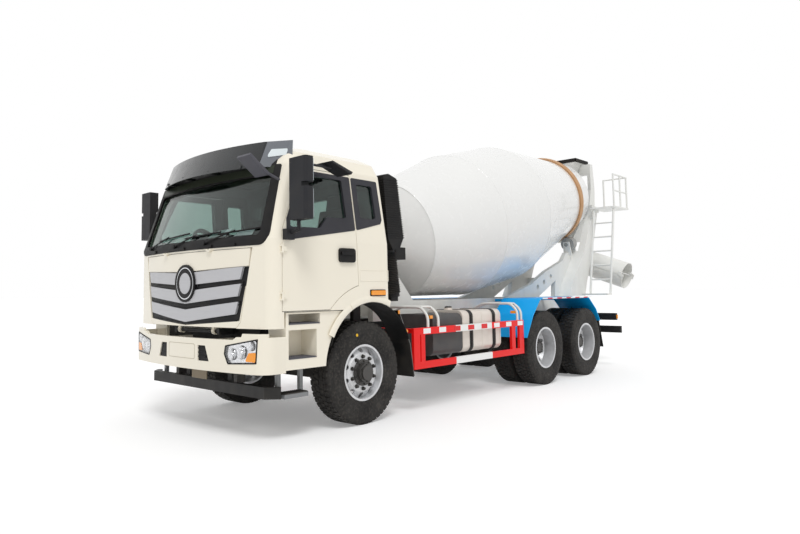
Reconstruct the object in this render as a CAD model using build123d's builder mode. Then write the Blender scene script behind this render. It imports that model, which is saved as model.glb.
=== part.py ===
from build123d import *
import math
import os

# Three-axle concrete mixer truck: tilting cab over the front axle, ladder frame, single steered
# front wheels, two driven rear axles on twin wheels, a tilted drum on its own subframe, and a
# folding discharge chute at the rear.
#
# Millimetres. +Z is up, the front faces -Y and +X is the truck's left. The origin is on the
# ground at the middle of the overall length. Distances called "behind the front axle" are
# measured along +Y from FRONT_AXLE_Y.

os.makedirs("parts", exist_ok=True)

# ---------------------------------------------------------------- driving dimensions
FRONT_AXLE_Y = -2913.5      # the front axle's place along the truck
WHEELBASE = 3775.0          # front axle to the first rear axle
BOGIE_SPACING = 1350.0      # between the two rear axles
MID_AXLE_Y = WHEELBASE
REAR_AXLE_Y = WHEELBASE + BOGIE_SPACING
BOGIE_Y = WHEELBASE + BOGIE_SPACING / 2

TYRE_R = 540.0
AXLE_Z = TYRE_R             # the wheels stand on the ground
FRONT_TYRE_W = 300.0
REAR_TYRE_W = 290.0
FRONT_TRACK = 2020.0        # between the front tyres' middles
TWIN_TRACK = 1860.0         # between the middles of the rear twins
TWIN_SPACING = 340.0        # between the two tyres of a twin
RIM_R = 286.0               # bead seat
RIM_LIP_R = 299.0
RIM_WALL = 12.0
HUB_R = 138.0
SPINDLE_R = 45.0
RUNNING_GAP = 0.3           # round every shaft and pin
PIVOT_GAP = 1.0             # round the plain pins of the cab's tilt and of the chute
MOVING_GAP = 6.0            # between panels and their openings

FRAME_FRONT_Y = -1130.0
FRAME_REAR_Y = 6450.0
RAIL_OUT_X = 430.0          # outer face of each frame rail
RAIL_FLANGE = 80.0
RAIL_WALL = 9.0
RAIL_BOTTOM_Z = 740.0
RAIL_TOP_Z = 1020.0
SUBFRAME_TOP_Z = 1270.0

CAB_HALF_W = 1245.0
CAB_WALL = 60.0
CAB_FRONT_WALL = 110.0
CAB_FLOOR_Z = 1300.0
CAB_FLOOR_T = 50.0
CAB_LIP_Z = 1060.0
SILL_Z = 1215.0
CAB_REAR_SKIRT_Z = 1276.0
TILT_AXIS_Y = -1300.0
TILT_AXIS_Z = 1020.0
TILT_PIN_R = 25.0
TOW_EYE_R = 22.0
TOW_EYE_HALF_W = 25.0
FRONT_TOW_R = 17.0

ARCH_Y = 30.0
ARCH_Z = 640.0
ARCH_R = 650.0
ARCH_FLARE_R = 840.0

DOOR_FRONT_Y = -1190.0
DOOR_REAR_LOW_Y = -173.0
DOOR_REAR_BELT_Y = -200.0
DOOR_REAR_TOP_Y = -256.0
DOOR_TOP_Z = 2610.0
DOOR_TOP_FRONT_Y = -930.0
BELT_Z = 1974.0

BUMPER_FRONT_Y = -1500.0
BUMPER_CORNER_Y = -1370.0
BUMPER_HALF_W = 1225.0
BUMPER_REAR_Y = -1130.0
BUMPER_BOTTOM_Z = 650.0
BUMPER_TOP_Z = 985.0
BUMPER_WALL = 32.0

DRUM_TILT = 12.38           # degrees, the rear end is up
DRUM_PIVOT_Y = 1418.0       # the drum's axis passes here, at the front head
DRUM_PIVOT_Z = 2033.0
DRUM_WALL = 10.0
RING_STATION = 4745.0       # along the drum's axis from its front head
RING_R = 823.0
RING_W = 110.0
ROLLER_R = 125.0
ROLLER_X = 450.0

CHUTE_AXIS_Y = 7060.0       # upright axis that the chute swings round
CHUTE_R = 240.0
CHUTE_WALL = 6.0
CHUTE_SLOPE = 20.0          # degrees below level
CHUTE_LENGTH = 1130.0


# ---------------------------------------------------------------- planes and helpers
def side(x=0.0):
    """Upright plane along the truck: sketch x is behind the front axle, y is height, normal +X."""
    return Plane(origin=(x, FRONT_AXLE_Y, 0), x_dir=(0, 1, 0), z_dir=(1, 0, 0))


def level(z=0.0):
    """Level plane: sketch x is to the left, y is behind the front axle."""
    return Plane(origin=(0, FRONT_AXLE_Y, z), x_dir=(1, 0, 0), z_dir=(0, 0, 1))


def across(y=0.0):
    """Upright plane across the truck: sketch x is to the left, y is height, normal -Y."""
    return Plane(origin=(0, FRONT_AXLE_Y + y, 0), x_dir=(1, 0, 0), z_dir=(0, -1, 0))


def at(x, y, z):
    """A point given to the left, behind the front axle, and above the ground."""
    return (x, FRONT_AXLE_Y + y, z)


def block(x, y, z, mode=Mode.ADD):
    """A square-cut block between the two values given for each direction."""
    with Locations(at(sum(x) / 2, sum(y) / 2, sum(z) / 2)):
        Box(x[1] - x[0], y[1] - y[0], z[1] - z[0], mode=mode)


def outline(plane, points, radius=0.0):
    """A closed straight-sided outline on a plane, its corners rounded."""
    with BuildSketch(plane) as sketch:
        with BuildLine():
            Polyline(*points, close=True)
        make_face()
        if radius:
            fillet(sketch.vertices(), radius)
    return sketch.sketch


def slab(plane, points, thickness, radius=0.0, both=False, mode=Mode.ADD):
    """An outline made solid, along the plane's normal or both ways."""
    extrude(outline(plane, points, radius), amount=thickness, both=both, mode=mode)


def rod(start, end, radius, mode=Mode.ADD):
    """A round bar between two points."""
    run = Vector(*end) - Vector(*start)
    with BuildSketch(Plane(origin=start, z_dir=run)) as section:
        Circle(radius)
    extrude(section.sketch, amount=run.length, mode=mode)


def keep(builder, name):
    """Name a finished piece and write it."""
    builder.part.label = name
    export_step(builder.part, f"parts/{name}.step")


def both_sides():
    """Repeat the piece so far on the truck's other side."""
    mirror(about=Plane.YZ)


# ---------------------------------------------------------------- frame and running gear
TILT_ARM_W = 40.0
# the arms stay this close to the tilt axis, so that the cab's floor swings clear of them
TILT_ARM_NOSE = TILT_PIN_R + 3
TILT_ARM_RISE = TILT_PIN_R + 1
MEMBER_HALF_W = RAIL_OUT_X - RAIL_WALL
with BuildPart() as frame:
    for hand in (-1, 1):
        web = sorted((hand * RAIL_OUT_X, hand * (RAIL_OUT_X - RAIL_WALL)))
        flange = sorted((hand * RAIL_OUT_X, hand * (RAIL_OUT_X - RAIL_FLANGE)))
        block(web, (FRAME_FRONT_Y, FRAME_REAR_Y), (RAIL_BOTTOM_Z, RAIL_TOP_Z))
        block(flange, (FRAME_FRONT_Y, FRAME_REAR_Y), (RAIL_BOTTOM_Z, RAIL_BOTTOM_Z + RAIL_WALL))
        block(flange, (FRAME_FRONT_Y, FRAME_REAR_Y), (RAIL_TOP_Z - RAIL_WALL, RAIL_TOP_Z))
    # two arms ahead of the rails hold the cab's tilt tube
    for hand in (-1, 1):
        low, high = sorted((hand * (RAIL_OUT_X - TILT_ARM_W), hand * RAIL_OUT_X))
        arm_top = TILT_AXIS_Z + TILT_ARM_RISE
        block((low, high), (TILT_AXIS_Y - TILT_ARM_NOSE, FRAME_FRONT_Y), (TILT_AXIS_Z - 35, arm_top))
        block((low, high), (FRAME_FRONT_Y, FRAME_FRONT_Y + 120), (TILT_AXIS_Z, arm_top))
        # rear cab mounts
        block((low, high), (150, 230), (RAIL_TOP_Z, CAB_FLOOR_Z - RUNNING_GAP))
keep(frame, "frame")

ENGINE_HALF_W = 330.0
HOUSING_R = 80.0
DIFF_R = 215.0
with BuildPart() as driveline:
    block((-ENGINE_HALF_W, ENGINE_HALF_W), (-820, 340), (720, 1265))
    for y in (-560, 140):
        block((-MEMBER_HALF_W, MEMBER_HALF_W), (y - 50, y + 50), (800, 900))
    block((-190, 190), (340, 1080), (700, 1040))
    rod(at(0, 1080, 850), at(0, MID_AXLE_Y - DIFF_R - 25, AXLE_Z), 50)
    rod(at(0, MID_AXLE_Y - DIFF_R - 40, AXLE_Z), at(0, MID_AXLE_Y - DIFF_R, AXLE_Z), 50)
    rod(at(0, MID_AXLE_Y + DIFF_R, AXLE_Z), at(0, REAR_AXLE_Y - DIFF_R, AXLE_Z), 45)
keep(driveline, "driveline")

KINGPIN_X = 860.0
KINGPIN_R = 22.0
EYE_R = 45.0
EYE_HALF_H = 72.0
BEAM_LOW_Z = AXLE_Z - 110
SPRING_X = (390.0, 470.0)
FRONT_PAD_Z = 565.0
with BuildPart() as front_axle:
    slab(
        across(60),
        [
            (-KINGPIN_X, AXLE_Z - EYE_HALF_H + 15), (-620, BEAM_LOW_Z), (620, BEAM_LOW_Z),
            (KINGPIN_X, AXLE_Z - EYE_HALF_H + 15), (KINGPIN_X, AXLE_Z + 45),
            (560, BEAM_LOW_Z + 90), (-560, BEAM_LOW_Z + 90), (-KINGPIN_X, AXLE_Z + 45),
        ],
        120,
    )
    for hand in (-1, 1):
        with Locations(at(hand * KINGPIN_X, 0, AXLE_Z)):
            Cylinder(EYE_R, 2 * EYE_HALF_H)
            Cylinder(KINGPIN_R + RUNNING_GAP, 2 * EYE_HALF_H, mode=Mode.SUBTRACT)
        pad = sorted(hand * x for x in SPRING_X)
        block(pad, (-70, 70), (BEAM_LOW_Z + 60, FRONT_PAD_Z))
keep(front_axle, "front_axle")

REAR_PAD_Z = 690.0
REAR_SPRING_X = (450.0, 530.0)
TWIN_X = TWIN_TRACK / 2
REAR_SPINDLE_END = TWIN_X + 60
with BuildPart() as rear_axles:
    for y in (MID_AXLE_Y, REAR_AXLE_Y):
        with BuildSketch(Plane(origin=at(0, y, AXLE_Z), x_dir=(1, 0, 0), z_dir=(0, -1, 0))):
            with BuildLine():
                Polyline(
                    (0, 0), (REAR_SPINDLE_END, 0), (REAR_SPINDLE_END, SPINDLE_R),
                    (560, SPINDLE_R), (560, HOUSING_R), (240, HOUSING_R), (150, 190), (0, DIFF_R),
                    close=True,
                )
            make_face()
        revolve(axis=Axis(at(0, y, AXLE_Z), (1, 0, 0)))
        block(REAR_SPRING_X, (y - 60, y + 60), (AXLE_Z + 40, REAR_PAD_Z))
    both_sides()
keep(rear_axles, "rear_axles")

FRONT_SPRING_REACH = 700.0
REAR_SPRING_REACH = BOGIE_SPACING / 2 + 60
TRUNNION_Z = 850.0
with BuildPart() as springs:
    with BuildSketch(side(SPRING_X[0])):
        with BuildLine():
            ThreePointArc(
                (-FRONT_SPRING_REACH, RAIL_BOTTOM_Z - 10), (0, FRONT_PAD_Z + 75),
                (FRONT_SPRING_REACH, RAIL_BOTTOM_Z - 10),
            )
            Line((FRONT_SPRING_REACH, RAIL_BOTTOM_Z - 10), (FRONT_SPRING_REACH, RAIL_BOTTOM_Z - 26))
            ThreePointArc(
                (FRONT_SPRING_REACH, RAIL_BOTTOM_Z - 26), (0, FRONT_PAD_Z),
                (-FRONT_SPRING_REACH, RAIL_BOTTOM_Z - 26),
            )
            Line((-FRONT_SPRING_REACH, RAIL_BOTTOM_Z - 26), (-FRONT_SPRING_REACH, RAIL_BOTTOM_Z - 10))
        make_face()
    extrude(amount=SPRING_X[1] - SPRING_X[0])
    for y in (-FRONT_SPRING_REACH + 30, FRONT_SPRING_REACH - 30):
        block(SPRING_X, (y - 35, y + 35), (RAIL_BOTTOM_Z - 26, RAIL_BOTTOM_Z))
    with BuildSketch(side(REAR_SPRING_X[0])):
        with BuildLine():
            ThreePointArc(
                (BOGIE_Y - REAR_SPRING_REACH, REAR_PAD_Z + 40), (BOGIE_Y, TRUNNION_Z),
                (BOGIE_Y + REAR_SPRING_REACH, REAR_PAD_Z + 40),
            )
            Line(
                (BOGIE_Y + REAR_SPRING_REACH, REAR_PAD_Z + 40),
                (BOGIE_Y + REAR_SPRING_REACH, REAR_PAD_Z),
            )
            Line(
                (BOGIE_Y + REAR_SPRING_REACH, REAR_PAD_Z),
                (BOGIE_Y + BOGIE_SPACING / 2 - 60, REAR_PAD_Z),
            )
            ThreePointArc(
                (BOGIE_Y + BOGIE_SPACING / 2 - 60, REAR_PAD_Z), (BOGIE_Y, REAR_PAD_Z + 30),
                (BOGIE_Y - BOGIE_SPACING / 2 + 60, REAR_PAD_Z),
            )
            Line(
                (BOGIE_Y - BOGIE_SPACING / 2 + 60, REAR_PAD_Z),
                (BOGIE_Y - REAR_SPRING_REACH, REAR_PAD_Z),
            )
            Line(
                (BOGIE_Y - REAR_SPRING_REACH, REAR_PAD_Z),
                (BOGIE_Y - REAR_SPRING_REACH, REAR_PAD_Z + 40),
            )
        make_face()
    extrude(amount=REAR_SPRING_X[1] - REAR_SPRING_X[0])
    block((RAIL_OUT_X, REAR_SPRING_X[1]), (BOGIE_Y - 130, BOGIE_Y + 130), (TRUNNION_Z - 25, 970))
    both_sides()
keep(springs, "springs")

# ---------------------------------------------------------------- wheels
BEAD_HALF = 115.0
TYRE_SIDES = 30             # flats round the tread; one of them lies on the ground
SHOULDER_W = 26.0           # along the axle
SHOULDER_H = 110.0          # towards the axle


def tyre_ring(x, y, width):
    """A tyre as a ring of level facets: tread, raked shoulders, side walls and stepped beads."""
    half = width / 2
    outer_side = Plane(origin=at(x - half, y, AXLE_Z), x_dir=(0, 1, 0), z_dir=(1, 0, 0))
    with BuildPart(mode=Mode.PRIVATE) as tyre:
        with BuildSketch(outer_side) as section:
            RegularPolygon(TYRE_R, TYRE_SIDES, major_radius=False)
            RegularPolygon(RIM_R, TYRE_SIDES, major_radius=False, mode=Mode.SUBTRACT)
        extrude(section.sketch, amount=width)
        rims_of = tyre.edges().filter_by(lambda e: abs(e.tangent_at(0.5).X) < 0.01)
        far_out = [e for e in rims_of if (e.center() - Vector(at(x, y, AXLE_Z))).length > 0.8 * TYRE_R]
        chamfer(far_out, length=SHOULDER_W, length2=SHOULDER_H)
        for end in (-half, half):
            with BuildSketch(Plane(origin=at(x + end, y, AXLE_Z), x_dir=(0, 1, 0), z_dir=(1, 0, 0))) as bead:
                RegularPolygon(RIM_LIP_R + 4, TYRE_SIDES, major_radius=False)
            extrude(bead.sketch, amount=(BEAD_HALF - half) * math.copysign(1, end), mode=Mode.SUBTRACT)
    add(tyre.part)


def rim_ring(x, y, hand, hub_face, seat):
    """A rim with its disc. The disc is flat at the hub and cones out to the barrel at seat."""
    out_r = RIM_R - RUNNING_GAP
    in_r = out_r - RIM_WALL
    lip = BEAD_HALF + 13
    across_wheel = Plane(origin=at(x, y, AXLE_Z), x_dir=(hand, 0, 0), z_dir=(0, -hand, 0))
    with BuildSketch(across_wheel) as section:
        with BuildLine():
            Polyline(
                (-lip, RIM_LIP_R), (-BEAD_HALF - 1, RIM_LIP_R), (-BEAD_HALF - 1, out_r),
                (BEAD_HALF + 1, out_r), (BEAD_HALF + 1, RIM_LIP_R), (lip, RIM_LIP_R),
                (lip, in_r), (-lip, in_r),
                close=True,
            )
        make_face()
        with BuildLine():
            Polyline(
                (hub_face - RIM_WALL, HUB_R - 5), (hub_face, HUB_R - 5), (hub_face, 200),
                (seat, in_r + 2), (seat - RIM_WALL * 1.3, in_r + 2), (hub_face - RIM_WALL, 196),
                close=True,
            )
        make_face()
    revolve(section.sketch, axis=Axis(at(x, y, AXLE_Z), (1, 0, 0)))


def hand_holes(x, y, radius, count=10, hole_r=31.0):
    """Round hand holes through a disc, in a ring about the axle."""
    for i in range(count):
        angle = 2 * math.pi * (i + 0.5) / count
        centre = at(x, y + radius * math.cos(angle), AXLE_Z + radius * math.sin(angle))
        with Locations(Location(centre, (0, 90, 0))):
            Cylinder(hole_r, 190, mode=Mode.SUBTRACT)


def hub(x, y, hand, steps, end, bore_end):
    """A hub turned to steps (outward distance, radius from there on), bored blind for its spindle."""
    points = [(steps[0][0], SPINDLE_R + RUNNING_GAP)]
    for k, (out, radius) in enumerate(steps):
        if k:
            points.append((out, steps[k - 1][1]))
        points.append((out, radius))
    points.append((end, steps[-1][1]))
    points.append((end, 0))
    points.append((bore_end, 0))
    points.append((bore_end, SPINDLE_R + RUNNING_GAP))
    across_wheel = Plane(origin=at(x, y, AXLE_Z), x_dir=(hand, 0, 0), z_dir=(0, -hand, 0))
    with BuildSketch(across_wheel) as section:
        with BuildLine():
            Polyline(*points, close=True)
        make_face()
    revolve(section.sketch, axis=Axis(at(x, y, AXLE_Z), (1, 0, 0)))


FRONT_WHEEL_X = FRONT_TRACK / 2
FRONT_HUB_FACE = 105.0      # the front disc bolts on near the wheel's outer plane
FRONT_SPINDLE_REACH = 90.0  # past the front wheel's middle plane
for hand, name in ((1, "left"), (-1, "right")):
    with BuildPart() as front_tyre:
        tyre_ring(hand * FRONT_WHEEL_X, 0, FRONT_TYRE_W)
    keep(front_tyre, f"tyre_front_{name}")
    with BuildPart() as front_rim:
        rim_ring(hand * FRONT_WHEEL_X, 0, hand, FRONT_HUB_FACE, 40)
        hand_holes(hand * (FRONT_WHEEL_X + 60), 0, 238)
        hub(
            hand * FRONT_WHEEL_X, 0, hand,
            [(-50, 205), (10, HUB_R), (125, 100), (165, 78)], 186, FRONT_SPINDLE_REACH + 1,
        )
    keep(front_rim, f"rim_front_{name}")

TWIN_SEAT = 60.0
for axle_y, axle_name in ((MID_AXLE_Y, "mid"), (REAR_AXLE_Y, "rear")):
    for hand, name in ((1, "left"), (-1, "right")):
        outer_x = TWIN_X + TWIN_SPACING / 2
        inner_x = TWIN_X - TWIN_SPACING / 2
        with BuildPart() as twin_tyres:
            tyre_ring(hand * outer_x, axle_y, REAR_TYRE_W)
            tyre_ring(hand * inner_x, axle_y, REAR_TYRE_W)
        keep(twin_tyres, f"tyres_{axle_name}_{name}")
        with BuildPart() as twin_rims:
            face = TWIN_SPACING / 2
            rim_ring(hand * outer_x, axle_y, -hand, face, TWIN_SEAT)
            rim_ring(hand * inner_x, axle_y, hand, face, TWIN_SEAT)
            hand_holes(hand * (outer_x - 110), axle_y, 238)
            hub(
                hand * outer_x, axle_y, hand,
                [(-450, 205), (-300, HUB_R), (-30, 95)], 25, REAR_SPINDLE_END - outer_x + 1,
            )
        keep(twin_rims, f"rims_{axle_name}_{name}")

for hand, name in ((1, "left"), (-1, "right")):
    with BuildPart() as knuckle:
        lug_gap = EYE_HALF_H + 5
        for low in (AXLE_Z - lug_gap - 50, AXLE_Z + lug_gap):
            block(sorted((hand * (KINGPIN_X - 45), hand * (KINGPIN_X + 88))), (-45, 45), (low, low + 50))
        block(
            sorted((hand * (KINGPIN_X + 54), hand * (KINGPIN_X + 88))), (-60, 60),
            (AXLE_Z - lug_gap - 50, AXLE_Z + lug_gap + 50),
        )
        with Locations(at(hand * KINGPIN_X, 0, AXLE_Z)):
            Cylinder(KINGPIN_R, 2 * lug_gap + 20)
        rod(
            at(hand * (KINGPIN_X + 80), 0, AXLE_Z),
            at(hand * (FRONT_WHEEL_X + FRONT_SPINDLE_REACH), 0, AXLE_Z), SPINDLE_R,
        )
    keep(knuckle, f"knuckle_{name}")

# ---------------------------------------------------------------- cab body
# The cab's outer form: a stack of plan outlines. Columns: height, front middle, front at the
# sides, half width, rear. Distances are behind the front axle.
CAB_SECTIONS = (
    (CAB_LIP_Z, -1450.0, -1300.0, CAB_HALF_W, 320.0),
    (1900.0, -1450.0, -1300.0, CAB_HALF_W, 312.0),
    (2640.0, -1210.0, -1065.0, 1200.0, 225.0),
    (2770.0, -1120.0, -985.0, 1140.0, 195.0),
    (2840.0, -960.0, -840.0, 1020.0, 110.0),
)
CAB_CORNER_R = 120.0


def cab_section(z):
    """The cab's outer plan dimensions at a height, between the tabled sections."""
    for low, high in zip(CAB_SECTIONS, CAB_SECTIONS[1:]):
        if z <= high[0]:
            share = (z - low[0]) / (high[0] - low[0])
            return [a + share * (b - a) for a, b in zip(low[1:], high[1:])]
    return list(CAB_SECTIONS[-1][1:])


def cab_form(heights, inset, front_inset=None):
    """The cab's form between the heights, brought in all round by inset."""
    front_inset = inset if front_inset is None else front_inset
    plans = []
    for z in heights:
        front, corner, half, rear = cab_section(z)
        front, corner = front + front_inset, corner + front_inset
        half, rear = half - inset, rear - inset
        with BuildSketch(level(z)) as plan:
            with BuildLine():
                ThreePointArc((-half, corner), (0, front), (half, corner))
                Line((half, corner), (half, rear))
                Line((half, rear), (-half, rear))
                Line((-half, rear), (-half, corner))
            make_face()
            corners = plan.vertices().sort_by(Axis.Y)
            fillet(corners[0:2], CAB_CORNER_R)
            fillet(plan.vertices().sort_by(Axis.Y)[-2:], 60)
        plans.append(plan.sketch)
    loft(plans, ruled=True)


def cab_layer(near, far, low, high):
    """The skin of the cab between two insets, from one height to another."""
    heights = [low] + [s[0] for s in CAB_SECTIONS if low < s[0] < high] + [high]
    with BuildPart() as layer:
        cab_form(heights, near)
    with BuildPart() as core:
        cab_form([low - 5 if low - 5 > CAB_LIP_Z else low] + heights[1:], far)
    return layer.part - core.part


def door_outline(gap=0.0):
    """The left door's outline: raked front pillar, bent rear edge, low corner cut by the arch."""
    front, flare = DOOR_FRONT_Y + gap, ARCH_FLARE_R + gap
    low, top = SILL_Z + gap, DOOR_TOP_Z - gap
    low_y = ARCH_Y - math.sqrt(flare**2 - (low - ARCH_Z) ** 2)
    rear_low = DOOR_REAR_LOW_Y - gap
    rear_low_z = ARCH_Z + math.sqrt(flare**2 - (rear_low - ARCH_Y) ** 2)
    mid_angle = (math.atan2(low - ARCH_Z, low_y - ARCH_Y)
                 + math.atan2(rear_low_z - ARCH_Z, rear_low - ARCH_Y)) / 2
    middle = (ARCH_Y + flare * math.cos(mid_angle), ARCH_Z + flare * math.sin(mid_angle))
    with BuildSketch(side(CAB_HALF_W + 100)) as sketch:
        with BuildLine():
            Polyline(
                (rear_low, rear_low_z), (DOOR_REAR_BELT_Y - gap, 2030),
                (DOOR_REAR_TOP_Y - gap, top), (DOOR_TOP_FRONT_Y + gap, top),
                (front, BELT_Z), (front, low), (low_y, low),
            )
            ThreePointArc((low_y, low), middle, (rear_low, rear_low_z))
        make_face()
    return sketch.sketch


DOOR_REACH = 400.0
with BuildPart() as door_cut:
    extrude(door_outline(), amount=-DOOR_REACH)
    both_sides()
with BuildPart() as door_blank:
    extrude(door_outline(MOVING_GAP), amount=-DOOR_REACH)

# front panel outline, seen from the front
PANEL_TOP_Z = 1820.0
PANEL_TOP_HALF = 1010.0
PANEL_LOW_HALF = 862.0
PANEL_ELBOW_Z = 1120.0      # the sides lean outward above it
# how far the panel's own sides stand back from the opening's, so that its top corners clear it
# as they dip behind the hinge: height, distance
PANEL_RELIEF = [(1120.0, 0.0), (1420.0, 3.0), (1620.0, 6.0), (1720.0, 10.0), (1820.0, 22.0)]
PANEL_T = 45.0
PANEL_HINGE_X = 420.0
PANEL_HINGE_Y = -1452.0
PANEL_PIN_R = 4.0
HINGE_X = 1258.5            # the doors' upright hinge axes
HINGE_Y = -1190.0
HINGE_R = 12.0
HINGE_PIN_R = 7.0
HINGE_HALF = 22.0           # half a door barrel's length
HINGE_HEIGHTS = (1360.0, 1800.0)


def panel_outline(gap=0.0, relief=((PANEL_ELBOW_Z, 0.0), (PANEL_TOP_Z, 0.0))):
    """The hinged front panel: narrower at the foot, with standing-back sides if relief says so."""
    lean = (PANEL_TOP_HALF - PANEL_LOW_HALF) / (PANEL_TOP_Z - PANEL_ELBOW_Z)
    edge = [(PANEL_LOW_HALF - 60, CAB_LIP_Z + gap)]
    for z, back in relief:
        edge.append((PANEL_LOW_HALF + lean * (z - PANEL_ELBOW_Z) - gap - back, min(z, PANEL_TOP_Z - gap)))
    return outline(across(-1700), edge + [(-x, z) for x, z in reversed(edge)])


SCREEN_LOW_Z = 1905.0
SCREEN_TOP_Z = 2560.0
SCREEN_LOW_HALF = 1100.0
SCREEN_TOP_HALF = 1040.0
SCREEN_OUTLINE = [
    (-SCREEN_LOW_HALF, SCREEN_LOW_Z), (SCREEN_LOW_HALF, SCREEN_LOW_Z),
    (SCREEN_TOP_HALF, SCREEN_TOP_Z), (-SCREEN_TOP_HALF, SCREEN_TOP_Z),
]
DOOR_WINDOW = [
    (-1090.0, 2009.0), (-697.0, 2020.0), (-600.0, 2135.0), (-330.0, 2140.0),
    (-375.0, 2545.0), (-885.0, 2545.0), (-1090.0, 2085.0),
]
DOOR_WINDOW_R = 28.0
QUARTER_WINDOW = [(-135.0, 2160.0), (120.0, 2160.0), (75.0, 2530.0), (-175.0, 2530.0)]
REAR_WINDOW = [(-480.0, 2080.0), (480.0, 2080.0), (480.0, 2480.0), (-480.0, 2480.0)]
WINDOW_R = 45.0

ROOF_IN_Z = 2770.0
with BuildPart() as cab_shell:
    cab_form([s[0] for s in CAB_SECTIONS], 0)
    with BuildPart(mode=Mode.PRIVATE) as cab_room:
        cab_form([CAB_FLOOR_Z + CAB_FLOOR_T, 1900, 2640, ROOF_IN_Z], CAB_WALL, CAB_FRONT_WALL)
    add(cab_room.part, mode=Mode.SUBTRACT)
    with BuildPart(mode=Mode.PRIVATE) as under_floor:
        cab_form([CAB_LIP_Z, CAB_FLOOR_Z], CAB_WALL, CAB_FRONT_WALL)
    add(under_floor.part, mode=Mode.SUBTRACT)
    # the skirts end at the sills, behind the front corners
    block((-1300, 1300), (DOOR_FRONT_Y + 25, 1000), (CAB_LIP_Z - 10, SILL_Z - MOVING_GAP / 2),
          mode=Mode.SUBTRACT)
    block((-1300, 1300), (ARCH_Y, 1000), (CAB_LIP_Z - 10, CAB_REAR_SKIRT_Z), mode=Mode.SUBTRACT)
    with Locations(Location(at(0, ARCH_Y, ARCH_Z), (0, 90, 0))):
        Cylinder(ARCH_R, 3000, mode=Mode.SUBTRACT)
    add(door_cut.part, mode=Mode.SUBTRACT)
    slab(across(-1700), SCREEN_OUTLINE, -900, WINDOW_R, mode=Mode.SUBTRACT)
    slab(across(0), REAR_WINDOW, -900, WINDOW_R, mode=Mode.SUBTRACT)
    slab(side(-1400), QUARTER_WINDOW, 2800, WINDOW_R, mode=Mode.SUBTRACT)
    with BuildPart(mode=Mode.PRIVATE) as panel_recess:
        extrude(panel_outline(), amount=-700)
        add(cab_layer(-20, PANEL_T + MOVING_GAP, CAB_LIP_Z, 1900), mode=Mode.INTERSECT)
    add(panel_recess.part, mode=Mode.SUBTRACT)
    for hand in (-1, 1):
        # tilt lugs hang from the floor round the frame's cross tube
        low, high = sorted((hand * 300, hand * 345))
        block((low, high), (TILT_AXIS_Y - 34, TILT_AXIS_Y + 60), (TILT_AXIS_Z, CAB_FLOOR_Z + 1))
        rod(at(low, TILT_AXIS_Y, TILT_AXIS_Z), at(high, TILT_AXIS_Y, TILT_AXIS_Z), 40)
        rod(
            at(low, TILT_AXIS_Y, TILT_AXIS_Z), at(high, TILT_AXIS_Y, TILT_AXIS_Z),
            TILT_PIN_R + PIVOT_GAP, mode=Mode.SUBTRACT,
        )
        # door hinges: two lugs and a pin each
        near, far = sorted((hand * (CAB_HALF_W - 5), hand * (HINGE_X + HINGE_R - 4)))
        for z in HINGE_HEIGHTS:
            for low in (z - HINGE_HALF - 16, z + HINGE_HALF):
                block((near, far), (HINGE_Y - HINGE_R - 10, HINGE_Y - 1), (low, low + 16))
                rod(at(hand * HINGE_X, HINGE_Y, low), at(hand * HINGE_X, HINGE_Y, low + 16), HINGE_R)
            rod(
                at(hand * HINGE_X, HINGE_Y, z - HINGE_HALF - 1),
                at(hand * HINGE_X, HINGE_Y, z + HINGE_HALF + 1), HINGE_PIN_R,
            )
        # front panel hinges: lugs over the panel's top edge
        for x in (hand * PANEL_HINGE_X - 36, hand * PANEL_HINGE_X + 22):
            block((x, x + 14), (PANEL_HINGE_Y - 8, -1410), (PANEL_TOP_Z - 5.5, PANEL_TOP_Z + 14))
        rod(
            at(hand * PANEL_HINGE_X - 30, PANEL_HINGE_Y, PANEL_TOP_Z),
            at(hand * PANEL_HINGE_X + 30, PANEL_HINGE_Y, PANEL_TOP_Z), PANEL_PIN_R,
        )
keep(cab_shell, "cab_shell")

GLASS_DEPTH = 22.0
GLASS_T = 8.0
glass_layer = cab_layer(GLASS_DEPTH, GLASS_DEPTH + GLASS_T, 1850, 2640)
with BuildPart() as cab_glass:
    slab(across(-1700), SCREEN_OUTLINE, -900, WINDOW_R)
    slab(across(0), REAR_WINDOW, -900, WINDOW_R)
    slab(side(-1400), QUARTER_WINDOW, 2800, WINDOW_R)
    add(glass_layer, mode=Mode.INTERSECT)
keep(cab_glass, "cab_glass")

with BuildPart() as door_left:
    add(cab_layer(0, CAB_WALL, SILL_Z - 30, 2640))
    add(door_blank.part, mode=Mode.INTERSECT)
    slab(side(CAB_HALF_W + 100), DOOR_WINDOW, -DOOR_REACH, DOOR_WINDOW_R, mode=Mode.SUBTRACT)
    with BuildPart(mode=Mode.PRIVATE) as door_handle:
        block((CAB_HALF_W - 20, CAB_HALF_W + 22), (-464, -240), (1694, 1834))
        fillet(door_handle.edges().filter_by(Axis.X), 30)
        block((CAB_HALF_W, CAB_HALF_W + 30), (-430, -275), (1765, 1800), mode=Mode.SUBTRACT)
    add(door_handle.part)
    barrel_half = HINGE_HALF - RUNNING_GAP
    for z in HINGE_HEIGHTS:
        rod(at(HINGE_X, HINGE_Y, z - barrel_half), at(HINGE_X, HINGE_Y, z + barrel_half), HINGE_R)
        block((CAB_HALF_W - 3, HINGE_X + 5), (HINGE_Y + 9, HINGE_Y + 45), (z - barrel_half, z + barrel_half))
        rod(
            at(HINGE_X, HINGE_Y, z - HINGE_HALF), at(HINGE_X, HINGE_Y, z + HINGE_HALF),
            HINGE_PIN_R + RUNNING_GAP, mode=Mode.SUBTRACT,
        )
keep(door_left, "door_left")
with BuildPart() as door_right:
    add(mirror(door_left.part, about=Plane.YZ, mode=Mode.PRIVATE))
keep(door_right, "door_right")

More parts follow.
